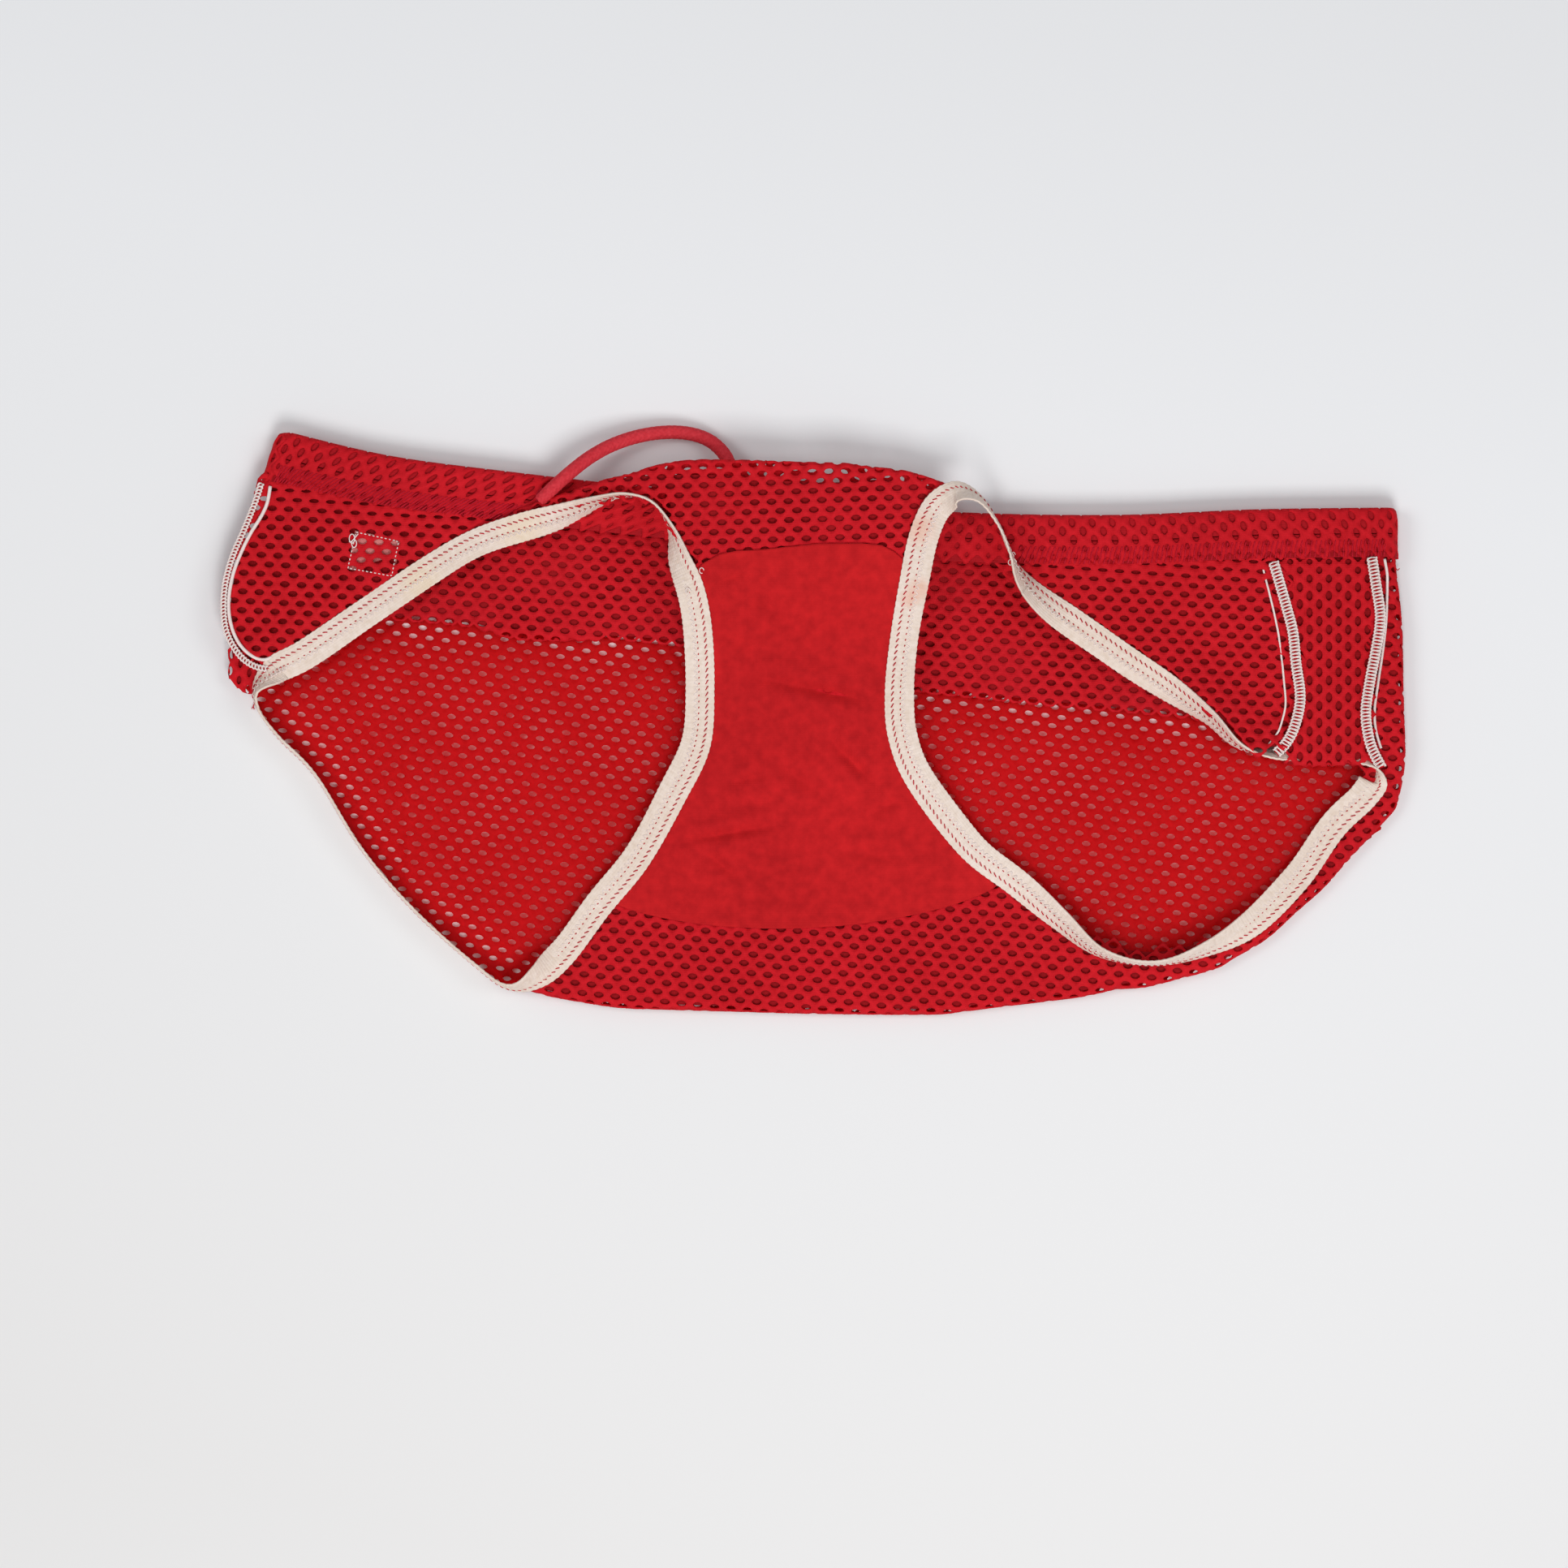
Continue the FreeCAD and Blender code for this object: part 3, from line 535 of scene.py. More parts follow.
RIGHT_LEG = [
    (72, 47.5, 9.2, 46), (88, 37.3, 8.9, 0), (104, 26.2, 8.9, -8), (120, 15.2, 9.8, -32),
    (132, 4.2, 12.2, -64), (141, -6.3, 12.6, -84), (151, -10.8, 10.4, -122), (163, -12.2, 7.5, -170),
    (176, -12.6, 7.5, -170), (185.5, -14.2, 10.6, -104), (189.5, -20, 7.6, -20), (185, -27, 6.5, 8),
    (175, -37, 6.0, 0), (163, -54, 6.0, 0), (147, -69.3, 6.0, 18), (130, -76.2, 6.0, 58),
    (112, -79.3, 6.0, 80), (94, -76.2, 6.0, 72), (79, -66.8, 6.0, 44), (64, -55.6, 6.0, 14),
    (48, -43.2, 6.5, 0), (31, -21, 7.5, 0), (24.5, -5, 8.4, 0), (23.3, 10, 9.8, 0), (24.8, 27, 12.1, 0),
    (27.8, 46, 15.5, 0), (31.3, 63, 17.8, 0), (37, 74.5, 18.3, 0), (46, 79, 18.3, 30), (54, 75, 14.5, 70),
    (60, 66, 10.9, 84), (64.5, 55.5, 10.4, 84)]


def leg_line(stations, first, last):
    return [(x, y) for x, y, _, _ in stations[first:last + 1]]


# %% [markdown]
# The back panel is the layer on the table. It is cut a little short of the silhouette, because the fold
# there belongs to the next piece. Cloth never lies quite flat: here it lifts in low bands, which is why
# some holes look bright, with the table right under them, and others dull. At the left it climbs the
# elastic that stands on its edge.

# %% Back panel on the table
LEFT_EDGE = smooth(leg_line(LEFT_LEG, 20, 28))
BACK_OUTLINE = ([(-94, -85), (-62, -91), (0, -93.5), (60, -91.5), (110, -84), (140, -75), (165, -56),
                 (185, -36), (192, -20), (192.3, 5), (188, 44)]
                + [(150, 12), (90, 18), (0, 32), (-100, 42), (-150, 46), (-182, 46), (-188, 30), (-186.2, 14)]
                + [(x - 1.2, y - 0.8) for x, y in reversed(leg_line(LEFT_LEG, 20, 27))])


def back_height(pts):
    x, y = pts[:, 0], pts[:, 1]
    bands = (0.5 + 0.5 * np.sin(x / 7.6 + 0.02 * y + 1.2)) ** 2 * 1.1 + waves(pts, 0.7, 16, 0.7)
    pleat_y = np.interp(x, [-186, -120, -41, 0, 50, 105, 186], [33, 33, 25, 17.5, 9, 3.5, -4])
    centre = np.clip((y + 92) / 14, 0, 1) * np.clip((pleat_y + 2 - y) / 14, 0.15, 1)
    ridge = 1.2 * np.exp(-((x + 134) / 1.6) ** 2) * np.clip((y + 64) / 10, 0, 1) * np.clip((16 - y) / 8, 0, 1)
    off, _, _ = nearest(LEFT_EDGE, pts)
    climb = 2.6 * np.clip(1 - (off - 0.6) / 4.0, 0, 1) ** 2 * np.clip((-90 - x) / 8, 0, 1)
    near_tape = np.where(x > -84, 1, np.clip((off - 1) / 12, 0, 1))
    lift = (1.9 + np.clip(bands, 0, 2.0)) * centre * near_tape
    return BACK_LEVEL + lift + ridge + climb


def lay_back(pts):
    off, foot, _ = nearest(LEFT_EDGE, pts)
    held = np.where(((off < 0.3) & (pts[:, 0] < -92) & (pts[:, 1] < 10))[:, None], foot, pts)
    return np.column_stack([held, back_height(held)])


back_panel, cut = cloth_net("back_panel_net", (0, -30), 215, -8, BACK_OUTLINE, lay_back, hole=(2.9, 1.7))
settle(back_panel, SINGLE_RED, "red_mesh", "back_panel_lower")

# %% [markdown]
# At the right side and under the crotch the same cloth turns up and comes forward. It is laid as one
# strip that curls half a turn round the silhouette, so the outline of the brief is a real fold. Here and
# under the front and side panels a thin unholed backing lies just below the net. It is there for looks
# alone: the real layers below are holed net too, and the backing, coloured a darker red as painted shade,
# makes the holes look as deep and dark a red as the shade down in those layers.

# %% Back panel wrapped forward
WRAP_EDGE = smooth([(-97, -87.2), (-90, -89.5), (-80, -91.5), (-65, -93.8), (-50, -94.4), (-30, -95),
                    (0, -95.8), (38, -96.1), (50, -95), (62, -93.5), (75, -92), (90, -90), (100, -87.8),
                    (110, -87), (120, -84.5), (133, -81), (139, -77.5), (150, -71), (160, -62), (169, -54),
                    (177, -45), (184, -37.5), (190, -31), (193, -27), (195, -18), (195.6, -10), (195.3, 0),
                    (195, 10), (194.8, 23), (194.6, 31), (193.8, 41), (192.6, 51), (192.3, 58)])
WRAP_RADIUS = 2.55
WRAP_OUTLINE = ([(-101, -90), (-88, -96), (-50, -100), (0, -101.5), (40, -101.5), (65, -99.5), (112, -92.5),
                 (136, -86), (156, -75.5), (181, -51), (198, -33), (201.5, -10), (201, 12), (200, 36),
                 (199, 58)]
                + [(183.5, 58), (184, 20), (180.5, 5), (181.5, -14), (181, -26), (170, -37), (158, -54),
                   (144, -66), (128, -72.5), (112, -75.5), (96, -72.5), (82, -64), (66, -52), (52, -42),
                   (0, -50), (-50, -46), (-62, -55), (-74, -66), (-86, -80), (-96, -85)])


def wrap_height(pts):
    x, y = pts[:, 0], pts[:, 1]
    under_side = np.clip((x - 170) / 10, 0, 1) * np.clip((y + 22) / 14, 0, 1)
    return WRAP_TOP + waves(pts, 0.5, 17, 2.0) * 0.5 + 1.9 * under_side


def lay_wrap(pts):
    return curl(pts, WRAP_EDGE, WRAP_RADIUS, wrap_height)


wrap, cut = cloth_net("back_panel_wrapped_net", (50, -40), 190, -6, WRAP_OUTLINE, lay_wrap)
wrap_floor = np.empty(len(wrap.data.vertices) * 3)
wrap.data.vertices.foreach_get("co", wrap_floor)
wrap_floor[2::3] = np.maximum(wrap_floor[2::3], 0.00005)
wrap.data.vertices.foreach_set("co", wrap_floor)
settle(wrap, MESH_RED, "red_mesh", "back_panel_right_wrap", "back_panel_crotch_wrap")
WRAP_INNER = [(-86, -80), (-74, -66), (-62, -55), (-50, -46), (0, -50), (52, -42), (66, -52), (82, -64),
              (96, -72.5), (112, -75.5), (128, -72.5), (144, -66), (158, -54), (170, -37), (180, -26),
              (182, -14), (182, 5), (185, 20), (184, 57)]
wrap_inner = grid_sheet("back_panel_wrapped_inner", strip_points(WRAP_EDGE, -1.7)[4:-4:8], WRAP_INNER,
                        (200, 16), lambda p: np.column_stack([p, wrap_height(p) - 0.95]), BACKING)
settle(wrap_inner, PAINTED_SHADE_RED, "red_mesh")

# %% [markdown]
# Higher up, the back panel is pleated: it turns back under itself along a slanting line that shows
# through both leg openings. The upper layer curls round that line. What lies under it is several layers
# deep and never seen by itself, so one unholed sheet stands for them, coloured a dark red as painted
# shade, and makes the holes look dark.

# %% Pleat of the back panel
PLEAT_EDGE = smooth([(-186, 33), (-143.6, 34.2), (-120, 32.8), (-108, 30.6), (-96, 27.8), (-68, 27.6),
                     (-41, 25), (0, 17.5), (33, 11), (50, 9), (75, 6), (90, 4.5), (105, 3.5), (128, 1),
                     (152, -2), (186, -4)])
PLEAT_HEAD = [(186, 55), (140, 57), (66, 57), (30, 58), (-20, 62), (-60, 66), (-100, 71), (-140, 75),
              (-180, 80)]


def pleat_height(pts):
    return PLEAT_LEVEL + 0.5 + waves(pts, 0.9, 14, 0.3) * 0.6


def lay_pleat(pts):
    return curl(pts, PLEAT_EDGE, 0.55, pleat_height)


region = [(x, y - 0.7) for x, y in PLEAT_EDGE] + PLEAT_HEAD
pleat, cut = cloth_net("back_panel_pleat_net", (0, 30), 200, -5, region, lay_pleat, hole=(3.3, 2.05))
settle(pleat, MESH_RED, "red_mesh", "back_panel_pleat")


pleat_inner = grid_sheet("back_panel_pleat_inner", [(x, y + 2.0) for x, y in PLEAT_EDGE[4:-4:8]],
                         list(reversed(PLEAT_HEAD)), (120, 24),
                         lambda p: np.column_stack([p, 2.05 + waves(p, 0.25, 12, 1.0)]), 0.6)
settle(pleat_inner, PAINTED_SHADE_RED, "red_mesh")

# %% [markdown]
# The front panel is level at its left and right ends. Its left edge turns down round the seam, and both
# parts lift a little where the leg elastic stands up. Just under the waistband the net is squashed, so
# its holes are flatter there.

# %% Front panel, left part
BAND_TOP = [(-173, 96), (-140, 88.3), (-100, 83), (-55, 78), (0, 73), (50, 69.6), (100, 68.8), (145, 70.6),
            (188, 71.2)]
BAND_SLANT = [-6, -3, -1, 0, 0, 0, 0, 1, 1]
BAND_HEIGHT = 16.5
BAND_FOOT = [(x + slant, y - BAND_HEIGHT) for (x, y), slant in zip(BAND_TOP, BAND_SLANT)]
band_foot_line = smooth(BAND_FOOT)


def squashed(pts):
    """Holes get flatter just under the waistband."""
    foot = np.interp(pts[:, 0], band_foot_line[:, 0], band_foot_line[:, 1])
    flat = np.clip(0.55 + (foot - pts[:, 1]) / 22, 0.5, 1)
    return np.column_stack([np.ones(len(pts)), flat])


LEFT_SEAM = smooth([(-183.5, 82), (-185.6, 74), (-188, 66.5), (-190.6, 60), (-193.2, 54), (-195, 47),
                    (-195.6, 40), (-195.2, 33), (-193.5, 27), (-190, 22.6), (-186, 19.6), (-181, 18)])
left_elastic = smooth(leg_line(LEFT_LEG, 0, 6))
LEFT_REGION = ([(x - 0.4, y) for x, y in LEFT_SEAM] + [(x + 2.5, y - 4) for x, y in left_elastic]
               + [(-86, 73), (-100, 69), (-140, 74), (-170, 82), (-180, 82)])


def left_height(pts):
    x, y = pts[:, 0], pts[:, 1]
    off, _, _ = nearest(left_elastic, pts)
    bulge = 1.1 * np.exp(-((-off - 4) / 4.0) ** 2) * np.clip((-120 - x) / 30, 0, 1)
    hollow = -0.5 * np.exp(-((-off - 13) / 5.0) ** 2)
    return FRONT_LEVEL + 0.45 + bulge + hollow + waves(pts, 0.7, 13, 1.7) * 0.6


def lay_left(pts):
    return curl(pts, LEFT_SEAM, 0.8, left_height)


front_left, cut_left = cloth_net("front_panel_left_net", (-150, 48), 75, -3, LEFT_REGION, lay_left,
                                 fit=squashed)
settle(front_left, MESH_RED, "red_mesh", "front_panel_left")
left_inner = grid_sheet("front_panel_left_inner", [(-178, 82), (-184, 66), (-190, 55), (-192.5, 44),
                                                   (-192.5, 32),
                                                   (-184, 22)],
                        [(-90, 74), (-96, 71.5), (-104, 68), (-120, 60), (-145, 44), (-170, 28)], (60, 60),
                        lambda p: np.column_stack([p, left_height(p) - 1.5]), BACKING)
settle(left_inner, PAINTED_SHADE_RED, "red_mesh")

# %% Front panel, right part
right_elastic = smooth(leg_line(RIGHT_LEG, 0, 6))
RIGHT_REGION = ([(56, 56), (66, 48)] + [(x - 0.5, y - 0.9) for x, y in right_elastic[:-18]]
                + [(139, -3), (147, -9.5), (154, -8), (160, 4), (160, 20), (157, 40), (154, 56)])


def right_height(pts):
    x = pts[:, 0]
    off, _, _ = nearest(right_elastic, pts)
    stand = np.interp(x, [104, 120, 132, 141], [0, 0.8, 3.1, 3.6]) * np.exp(-np.abs(off) / 4.5)
    hollow = -1.5 * np.exp(-((np.abs(off) - 13) / 6.0) ** 2) * np.clip((x - 112) / 14, 0, 1)
    return FRONT_LEVEL + 0.45 + stand + hollow + waves(pts, 0.8, 12, 0.4) * 0.6


def lay_right(pts):
    return np.column_stack([pts, right_height(pts)])


front_right, cut_right = cloth_net("front_panel_right_net", (110, 25), 75, -4, RIGHT_REGION, lay_right,
                                   fit=squashed)
settle(front_right, MESH_RED, "red_mesh", "front_panel_right")
right_inner = grid_sheet("front_panel_right_inner", [(58, 55), (72, 47), (88, 36.5), (104, 25.5), (120, 14.5),
                                                     (132, 3.5), (147, -8)],
                         [(100, 55), (120, 55), (140, 55), (158, 54), (159, 30), (161, 5),
                          (154, -7)], (70, 60),
                         lambda p: np.column_stack([p, right_height(p) - 1.1]), BACKING)
settle(right_inner, PAINTED_SHADE_RED, "red_mesh")

# %% [markdown]
# The centre of the front is longer than the brief is laid, so it goes up past the waistband, turns over
# and comes down again as the crotch strap. It is one cloth: level on top, curled round the raised fold
# and running back down to the waistband underneath. Near the fold its holes look right through to the
# table.

# %% Front panel, folded centre
TOP_FOLD = smooth([(44, 78), (41, 79.4), (30, 82.8), (20, 84), (10, 85.3), (0, 85.6), (-25, 86.4),
                   (-40, 86.4),
                   (-50, 85.1), (-60, 82.2), (-70, 79.7), (-85, 74.9), (-97, 71.2)])
strap_left = smooth(leg_line(LEFT_LEG, 5, 19))
strap_right = smooth(leg_line(RIGHT_LEG, 19, 28))
UNDER_RUN = ([-97, -85, -72, -60, -50, -44, -38, 30, 36, 44], [1.5, 3.5, 7.5, 10, 14, 20, 27, 27, 20, 8])
CENTRE_REGION = ([(x, y + np.interp(x, *UNDER_RUN)) for x, y in TOP_FOLD]
                 + [(x - (3.4 if y < 44 else 0.0), y - 0.8) for x, y in strap_left]
                 + [(-66, -60), (57, -53)] + [(x + 3.6, y + 1.0) for x, y in strap_right] + [(44, 84)])


def under_strap(pts):
    """The hidden run from the raised fold back down to the waistband."""
    return np.interp(pts[:, 1], [43, 50, 58, 64, 90], [10.6, 12.0, 14.4, 15.3, 15.5])


def strap_top(pts):
    x, y = pts[:, 0], pts[:, 1]
    crumple = (0.45 * np.sin(2.4 * (x + 0.35 * y)) * np.exp(-((x + 38) / 2.6) ** 2)
               * np.clip((y - 49) / 5, 0, 1) * np.clip((74 - y) / 8, 0, 1))
    free = np.clip((y - 50) / 15, 0, 1)
    return strap_height(pts) + crumple + waves(pts, 0.8, 11, 2.2) * 0.55 * free


def lay_centre(pts):
    return curl(pts, TOP_FOLD, FOLD_RADIUS, strap_top, under_strap)


front_centre, cut = cloth_net("front_panel_centre_net", (-15, 20), 110, 2, CENTRE_REGION, lay_centre,
                              hole=(3.3, 2.05))
settle(front_centre, MESH_RED, "red_mesh", "front_panel_centre", "front_panel_bridge")
centre_inner = grid_sheet("front_panel_centre_inner", [(-98, 70), (-84, 74), (-70, 77.5), (-50, 77),
                                                       (-46, 66),
                                                       (-37, 50)],
                          [(-95, 70), (-80, 76), (-60, 81), (-30, 81.5), (0, 79), (25, 80), (40, 75),
                           (34, 50)], (50, 40),
                          lambda p: np.column_stack([p, strap_height(p) - 0.95]), BACKING)
settle(centre_inner, PAINTED_SHADE_RED, "red_mesh")

# %% [markdown]
# The side panels are cut from the same net with the grain turned a quarter, so their holes stand tall.
# Only a corner of the left one shows, folded behind the front.

# %% Side panels
SIDE_FOOT = smooth([(150, -11.5), (157, -13.4), (165, -14.2), (175, -13.8), (186, -13.2)])
SIDE_REGION = [(153, 56), (156, 38), (159, 20), (160, 5), (155, -10), (157, -14.6), (165, -15.4), (175, -15),
               (186, -14.4), (184, 5), (185, 25), (187, 36), (184, 56)]


def side_height(pts):
    return FRONT_LEVEL + 0.2 + waves(pts, 0.6, 10, 0.9) * 0.5


side_right, cut = cloth_net("side_panel_right_net", (170, 20), 48, 90, SIDE_REGION,
                            lambda p: curl(p, SIDE_FOOT, 0.5, side_height), pitch=5.6, row=3.2,
                            hole=(3.4, 2.2), fit=lambda p: squashed(p)[:, ::-1])
settle(side_right, MESH_RED, "red_mesh", "side_panel_right")
side_inner = grid_sheet("side_panel_right_inner", [(154, 55), (157, 38), (160, 15), (156, -13.2)],
                        [(184, 55), (186, 38), (183, 15), (184, -13.4)], (60, 30),
                        lambda p: np.column_stack([p, side_height(p) - 1.0]), BACKING)
settle(side_inner, PAINTED_SHADE_RED, "red_mesh")

CORNER_EDGE = smooth([(-194.9, 40), (-194.6, 30), (-194, 20), (-193.8, 12.5), (-193, 11.3), (-190, 10.8),
                      (-186.3, 9.9), (-184.6, 12), (-182.5, 17)])
CORNER_REGION = [(x, y) for x, y in CORNER_EDGE] + [(-170, 24), (-168, 44), (-180, 60), (-192, 48)]
side_left, cut = cloth_net("side_panel_left_net", (-186, 28), 30, 84, CORNER_REGION,
                           lambda p: snap(p, CORNER_EDGE, lambda q: 4.6 + waves(q, 0.5, 6, 0.2)),
                           row=3.2, hole=(3.0, 1.6))
settle(side_left, MESH_RED, "red_mesh", "side_panel_left")
corner_inner = grid_sheet("side_panel_left_inner", [(-193.5, 40), (-193, 24), (-191.8, 13.2)],
                          [(-180, 48), (-181, 26), (-185, 13)], (24, 12),
                          lambda p: np.column_stack([p, 3.7 + waves(p, 0.5, 6, 0.2)]), BACKING)
settle(corner_inner, PAINTED_SHADE_RED, "red_mesh")

# %% [markdown]
# The waistband is a doubled casing, pressed flat: a tube of net that runs along the front, turns at the
# side and runs back. A point of its cloth has a place along the band and a place round the tube, and one
# function turns those into a place on the brief. The elastic and the hidden run of the drawcord lie
# inside, and show red through the holes.

# %% Waistband casing
band_top_line = even(smooth(BAND_TOP, 12), 1.0)
share_along = np.linspace(0, 1, len(band_top_line))
dense = smooth(BAND_FOOT, 12)
band_foot_dense = np.stack([np.interp(share_along, np.linspace(0, 1, len(dense)), dense[:, k])
                            for k in range(2)], -1)
RUN = float(np.linalg.norm(np.diff(band_top_line, axis=0), axis=1).sum())
TURN = math.pi * BAND_HIGH / 2
INNER_DEPTH = 0.9
TUBE_RADIUS = 0.95
SKIN = 0.35


def ring_place(u, share, inset):
    """Along the flattened ring: front run, right turn, back run, left turn."""
    u = np.mod(u, 2 * (RUN + TURN))
    back = u > RUN + TURN
    local = np.where(back, u - RUN - TURN, u)
    turning = np.clip((local - RUN) / TURN, 0, 1) * math.pi
    t = np.clip(local / RUN, 0, 1)
    t = np.where(back, 1 - t, t)
    foot = np.stack([np.interp(t, share_along, band_foot_dense[:, k]) for k in range(2)], -1)
    head = np.stack([np.interp(t, share_along, band_top_line[:, k]) for k in range(2)], -1)
    place = foot + (head - foot) * share[:, None]
    half = BAND_HIGH / 2
    reach = (half - inset) * np.sin(turning)
    z = half + (half - inset) * np.cos(turning) * np.where(back, -1, 1)
    return np.column_stack([place[:, 0] + reach * np.where(back, -1, 1), place[:, 1], z])


def lay_casing(pts):
    """u along the band; v up the outer face, over the top and down the inner face."""
    u, v = pts[:, 0], pts[:, 1]
    face = BAND_HEIGHT - TUBE_RADIUS
    over = np.clip((v - face) / TUBE_RADIUS, 0, math.pi)
    rise = np.where(v < face, v, np.where(over < math.pi, face + TUBE_RADIUS * np.sin(over),
                                         face - (v - face - math.pi * TUBE_RADIUS)))
    puff = 0.35 * np.clip((v - 7) / 5, 0, 1) * np.clip((face + 1 - v) / 3, 0, 1) * (v < face)
    pinch = 0.5 * np.clip(1 - np.abs(v - 3.5) / 4.5, 0, 1) * (v < 9)
    inset = SKIN + TUBE_RADIUS * (1 - np.cos(over)) - puff * (1 + 0.5 * np.sin(u / 4.1)) * 0.6 + pinch * 0.5
    return ring_place(u, rise / BAND_HEIGHT, inset)


def casing_holes(pts):
    small = np.clip(0.5 + (pts[:, 1] - 4.5) / 8, 0.55, 1)
    small = np.minimum(small, 0.35 + np.abs(pts[:, 1] - BAND_HEIGHT - 0.6) / 4.2)
    return np.column_stack([small, small])


FULL_RING = 2 * (RUN + TURN)
LOOP_CELLS = round(FULL_RING / 6.6)
CASING_ROW = FULL_RING / LOOP_CELLS / 2
around = 2 * (BAND_HEIGHT - TUBE_RADIUS) + math.pi * TUBE_RADIUS
casing, cut = cloth_net("waist_casing_net", (0, 0), FULL_RING + 20, 90,
                        [(-0.01, 0.5), (FULL_RING - 0.01, 0.5), (FULL_RING - 0.01, around), (-0.01, around)],
                        lay_casing, pitch=5.7, row=CASING_ROW, hole=(3.3, 2.35), fit=casing_holes)
settle(casing, MESH_RED, "red_mesh", "waist_casing_front", "waist_casing_back", "waist_turn_left",
       "waist_turn_right")


def ring_band(name, low, high, thick, ribs, bulge):
    """A closed flat band inside the casing, from one share of its height to another."""
    count, wide = 1400, 12
    u = np.linspace(0, FULL_RING, count, endpoint=False)
    share = np.linspace(low, high, wide + 1)
    uu, ss = (g.ravel() for g in np.meshgrid(u, share, indexing="ij"))
    crown = bulge * (1 - ((ss - low) / (high - low) * 2 - 1) ** 2)
    points = ring_place(uu, ss, INNER_DEPTH - crown * 0.5 + 0.05 * np.sin(uu * ribs))
    faces = [(r * (wide + 1) + c, ((r + 1) % count) * (wide + 1) + c, ((r + 1) % count) * (wide + 1) + c + 1,
              r * (wide + 1) + c + 1) for r in range(count) for c in range(wide)]
    piece = make_mesh(name, points, faces, np.column_stack([uu, ss * BAND_HEIGHT]))
    thicken(piece, thick)
    return piece


waist_elastic = ring_band("waist_elastic_band", 0.03, 0.49, 0.5, 2.0, 0.1)
settle(waist_elastic, TAPE_RED, "red_elastic", "waist_elastic")
hidden_cord = ring_band("drawcord_flat_run", 0.51, 0.965, 0.5, 3.1, 0.2)
settle(hidden_cord, TAPE_RED, "red_cord", "drawcord_in_casing")

# %% [markdown]
# The crotch lining is fine jersey, stretched between the two leg elastics. Its top edge lies loose on the
# strap and its lower edge curves below the crotch seam. The creases are real dents in the sheet: each is
# a short valley along a line, deepest in the middle.

# %% Crotch lining
LINING_LEFT = [(-40.5, 49), (-39, 44), (-37.5, 34), (-36.5, 18), (-36.5, 3), (-38.5, -10), (-42, -19),
               (-48, -30),
               (-55, -41), (-62, -50), (-68, -58)]
LINING_RIGHT = [(29, 54), (28, 44), (26.5, 30), (26, 14), (26, 0), (27.5, -8), (32, -17), (39, -28),
                (46, -36),
                (53, -44), (60, -53.5)]
CREASES = [((5, -5), (20, -20), 2.5, 4.1), ((-22, 16), (22, 7), 2.8, 4.3), ((-46, -39), (-10, -33), 2.2, 3.5),
           ((18, -30), (38, -20), 2.0, 3.8), ((-36, -42), (-24, -52), 1.7, 3.5), ((-20, 45),
                                                                                  (-8, 30), 1.4, 5.4),
           ((-33, 30), (-20, 25), 1.4, 3.8), ((-38, 44), (-22, 50), 1.4, 2.7), ((8, -42),
                                                                                (30, -44), 1.4, 4.7),
           ((-14, -12), (4, -24), 1.7, 4.6), ((20, 25), (24, 5), 1.4, 4.1), ((-30, -20),
                                                                             (-14, -16), 1.4, 3.2)]


def lining_height(pts):
    z = strap_height(pts) + 0.75 + waves(pts, 0.5, 9, 1.1) * 0.45
    hem = np.minimum(*(np.abs(nearest(np.array(side, dtype=float), pts)[0])
                       for side in (LINING_LEFT, LINING_RIGHT)))
    hem_fade = np.clip((hem - 3) / 9, 0, 1)
    for a, b, depth, wide in CREASES:
        line = np.array([a, b], dtype=float)
        off, foot, _ = nearest(line, pts)
        length = np.linalg.norm(line[1] - line[0])
        at = np.linalg.norm(foot - line[0], axis=1) / length
        fade = np.sin(np.clip(at, 0.02, 0.98) * math.pi) ** 0.7
        end = np.linalg.norm(pts - foot, axis=1)
        z += depth * fade * hem_fade * (np.exp(-((end - wide * 0.9) / wide) ** 2) * 0.6
                                        - np.exp(-(end / (wide * 0.6)) ** 2) * 0.55)
    return z


def lining_place(pts):
    """From shares across and down to the lining's plan, between its four edges."""
    top = np.interp(pts[:, 0], [0, 0.06, 0.14, 0.22, 0.35, 0.58, 0.8, 0.9, 0.96, 1],
                    [0, 3.5, 6.0, 6.6, 6.4, 7.0, 6.2, 5.0, 2.6, 0])
    foot = 11.8 * (1 - (2 * pts[:, 0] - 1) ** 2) ** 0.75
    a, b = (even(smooth(side), 0.5) for side in (LINING_LEFT, LINING_RIGHT))
    ends = [np.stack([np.interp(pts[:, 1], np.linspace(0, 1, len(s)), s[:, k]) for k in range(2)], -1)
            for s in (a, b)]
    place = ends[0] + (ends[1] - ends[0]) * pts[:, :1]
    place[:, 1] += top * np.clip(1 - pts[:, 1] * 3, 0, 1) - foot * np.clip(pts[:, 1] * 2 - 1, 0, 1)
    return place


LINING_GRID = (150, 190)
across_share, down_share = (g.ravel() for g in np.meshgrid(np.linspace(0, 1, LINING_GRID[0] + 1),
                                                           np.linspace(0, 1, LINING_GRID[1] + 1)))
plan = lining_place(np.column_stack([across_share, down_share]))
wide = LINING_GRID[0] + 1
lining_faces = [(r * wide + c, (r + 1) * wide + c, (r + 1) * wide + c + 1, r * wide + c + 1)
                for r in range(LINING_GRID[1]) for c in range(LINING_GRID[0])]
lining = make_mesh("crotch_lining_jersey", np.column_stack([plan, lining_height(plan)]), lining_faces, plan)
thicken(lining, 0.5)
settle(lining, JERSEY_RED, "red_jersey", "crotch_lining", "lining_seam")

# %% [markdown]
# Each leg opening is bound with woven elastic, 9.5 mm wide, sewn on by one edge. It turns from lying flat
# to standing on its edge and back, so the tape is swept along stations that give a place and a tilt. The
# stitches puff it up in a faint row of dimples, and its edges are scalloped by the pull of the thread.

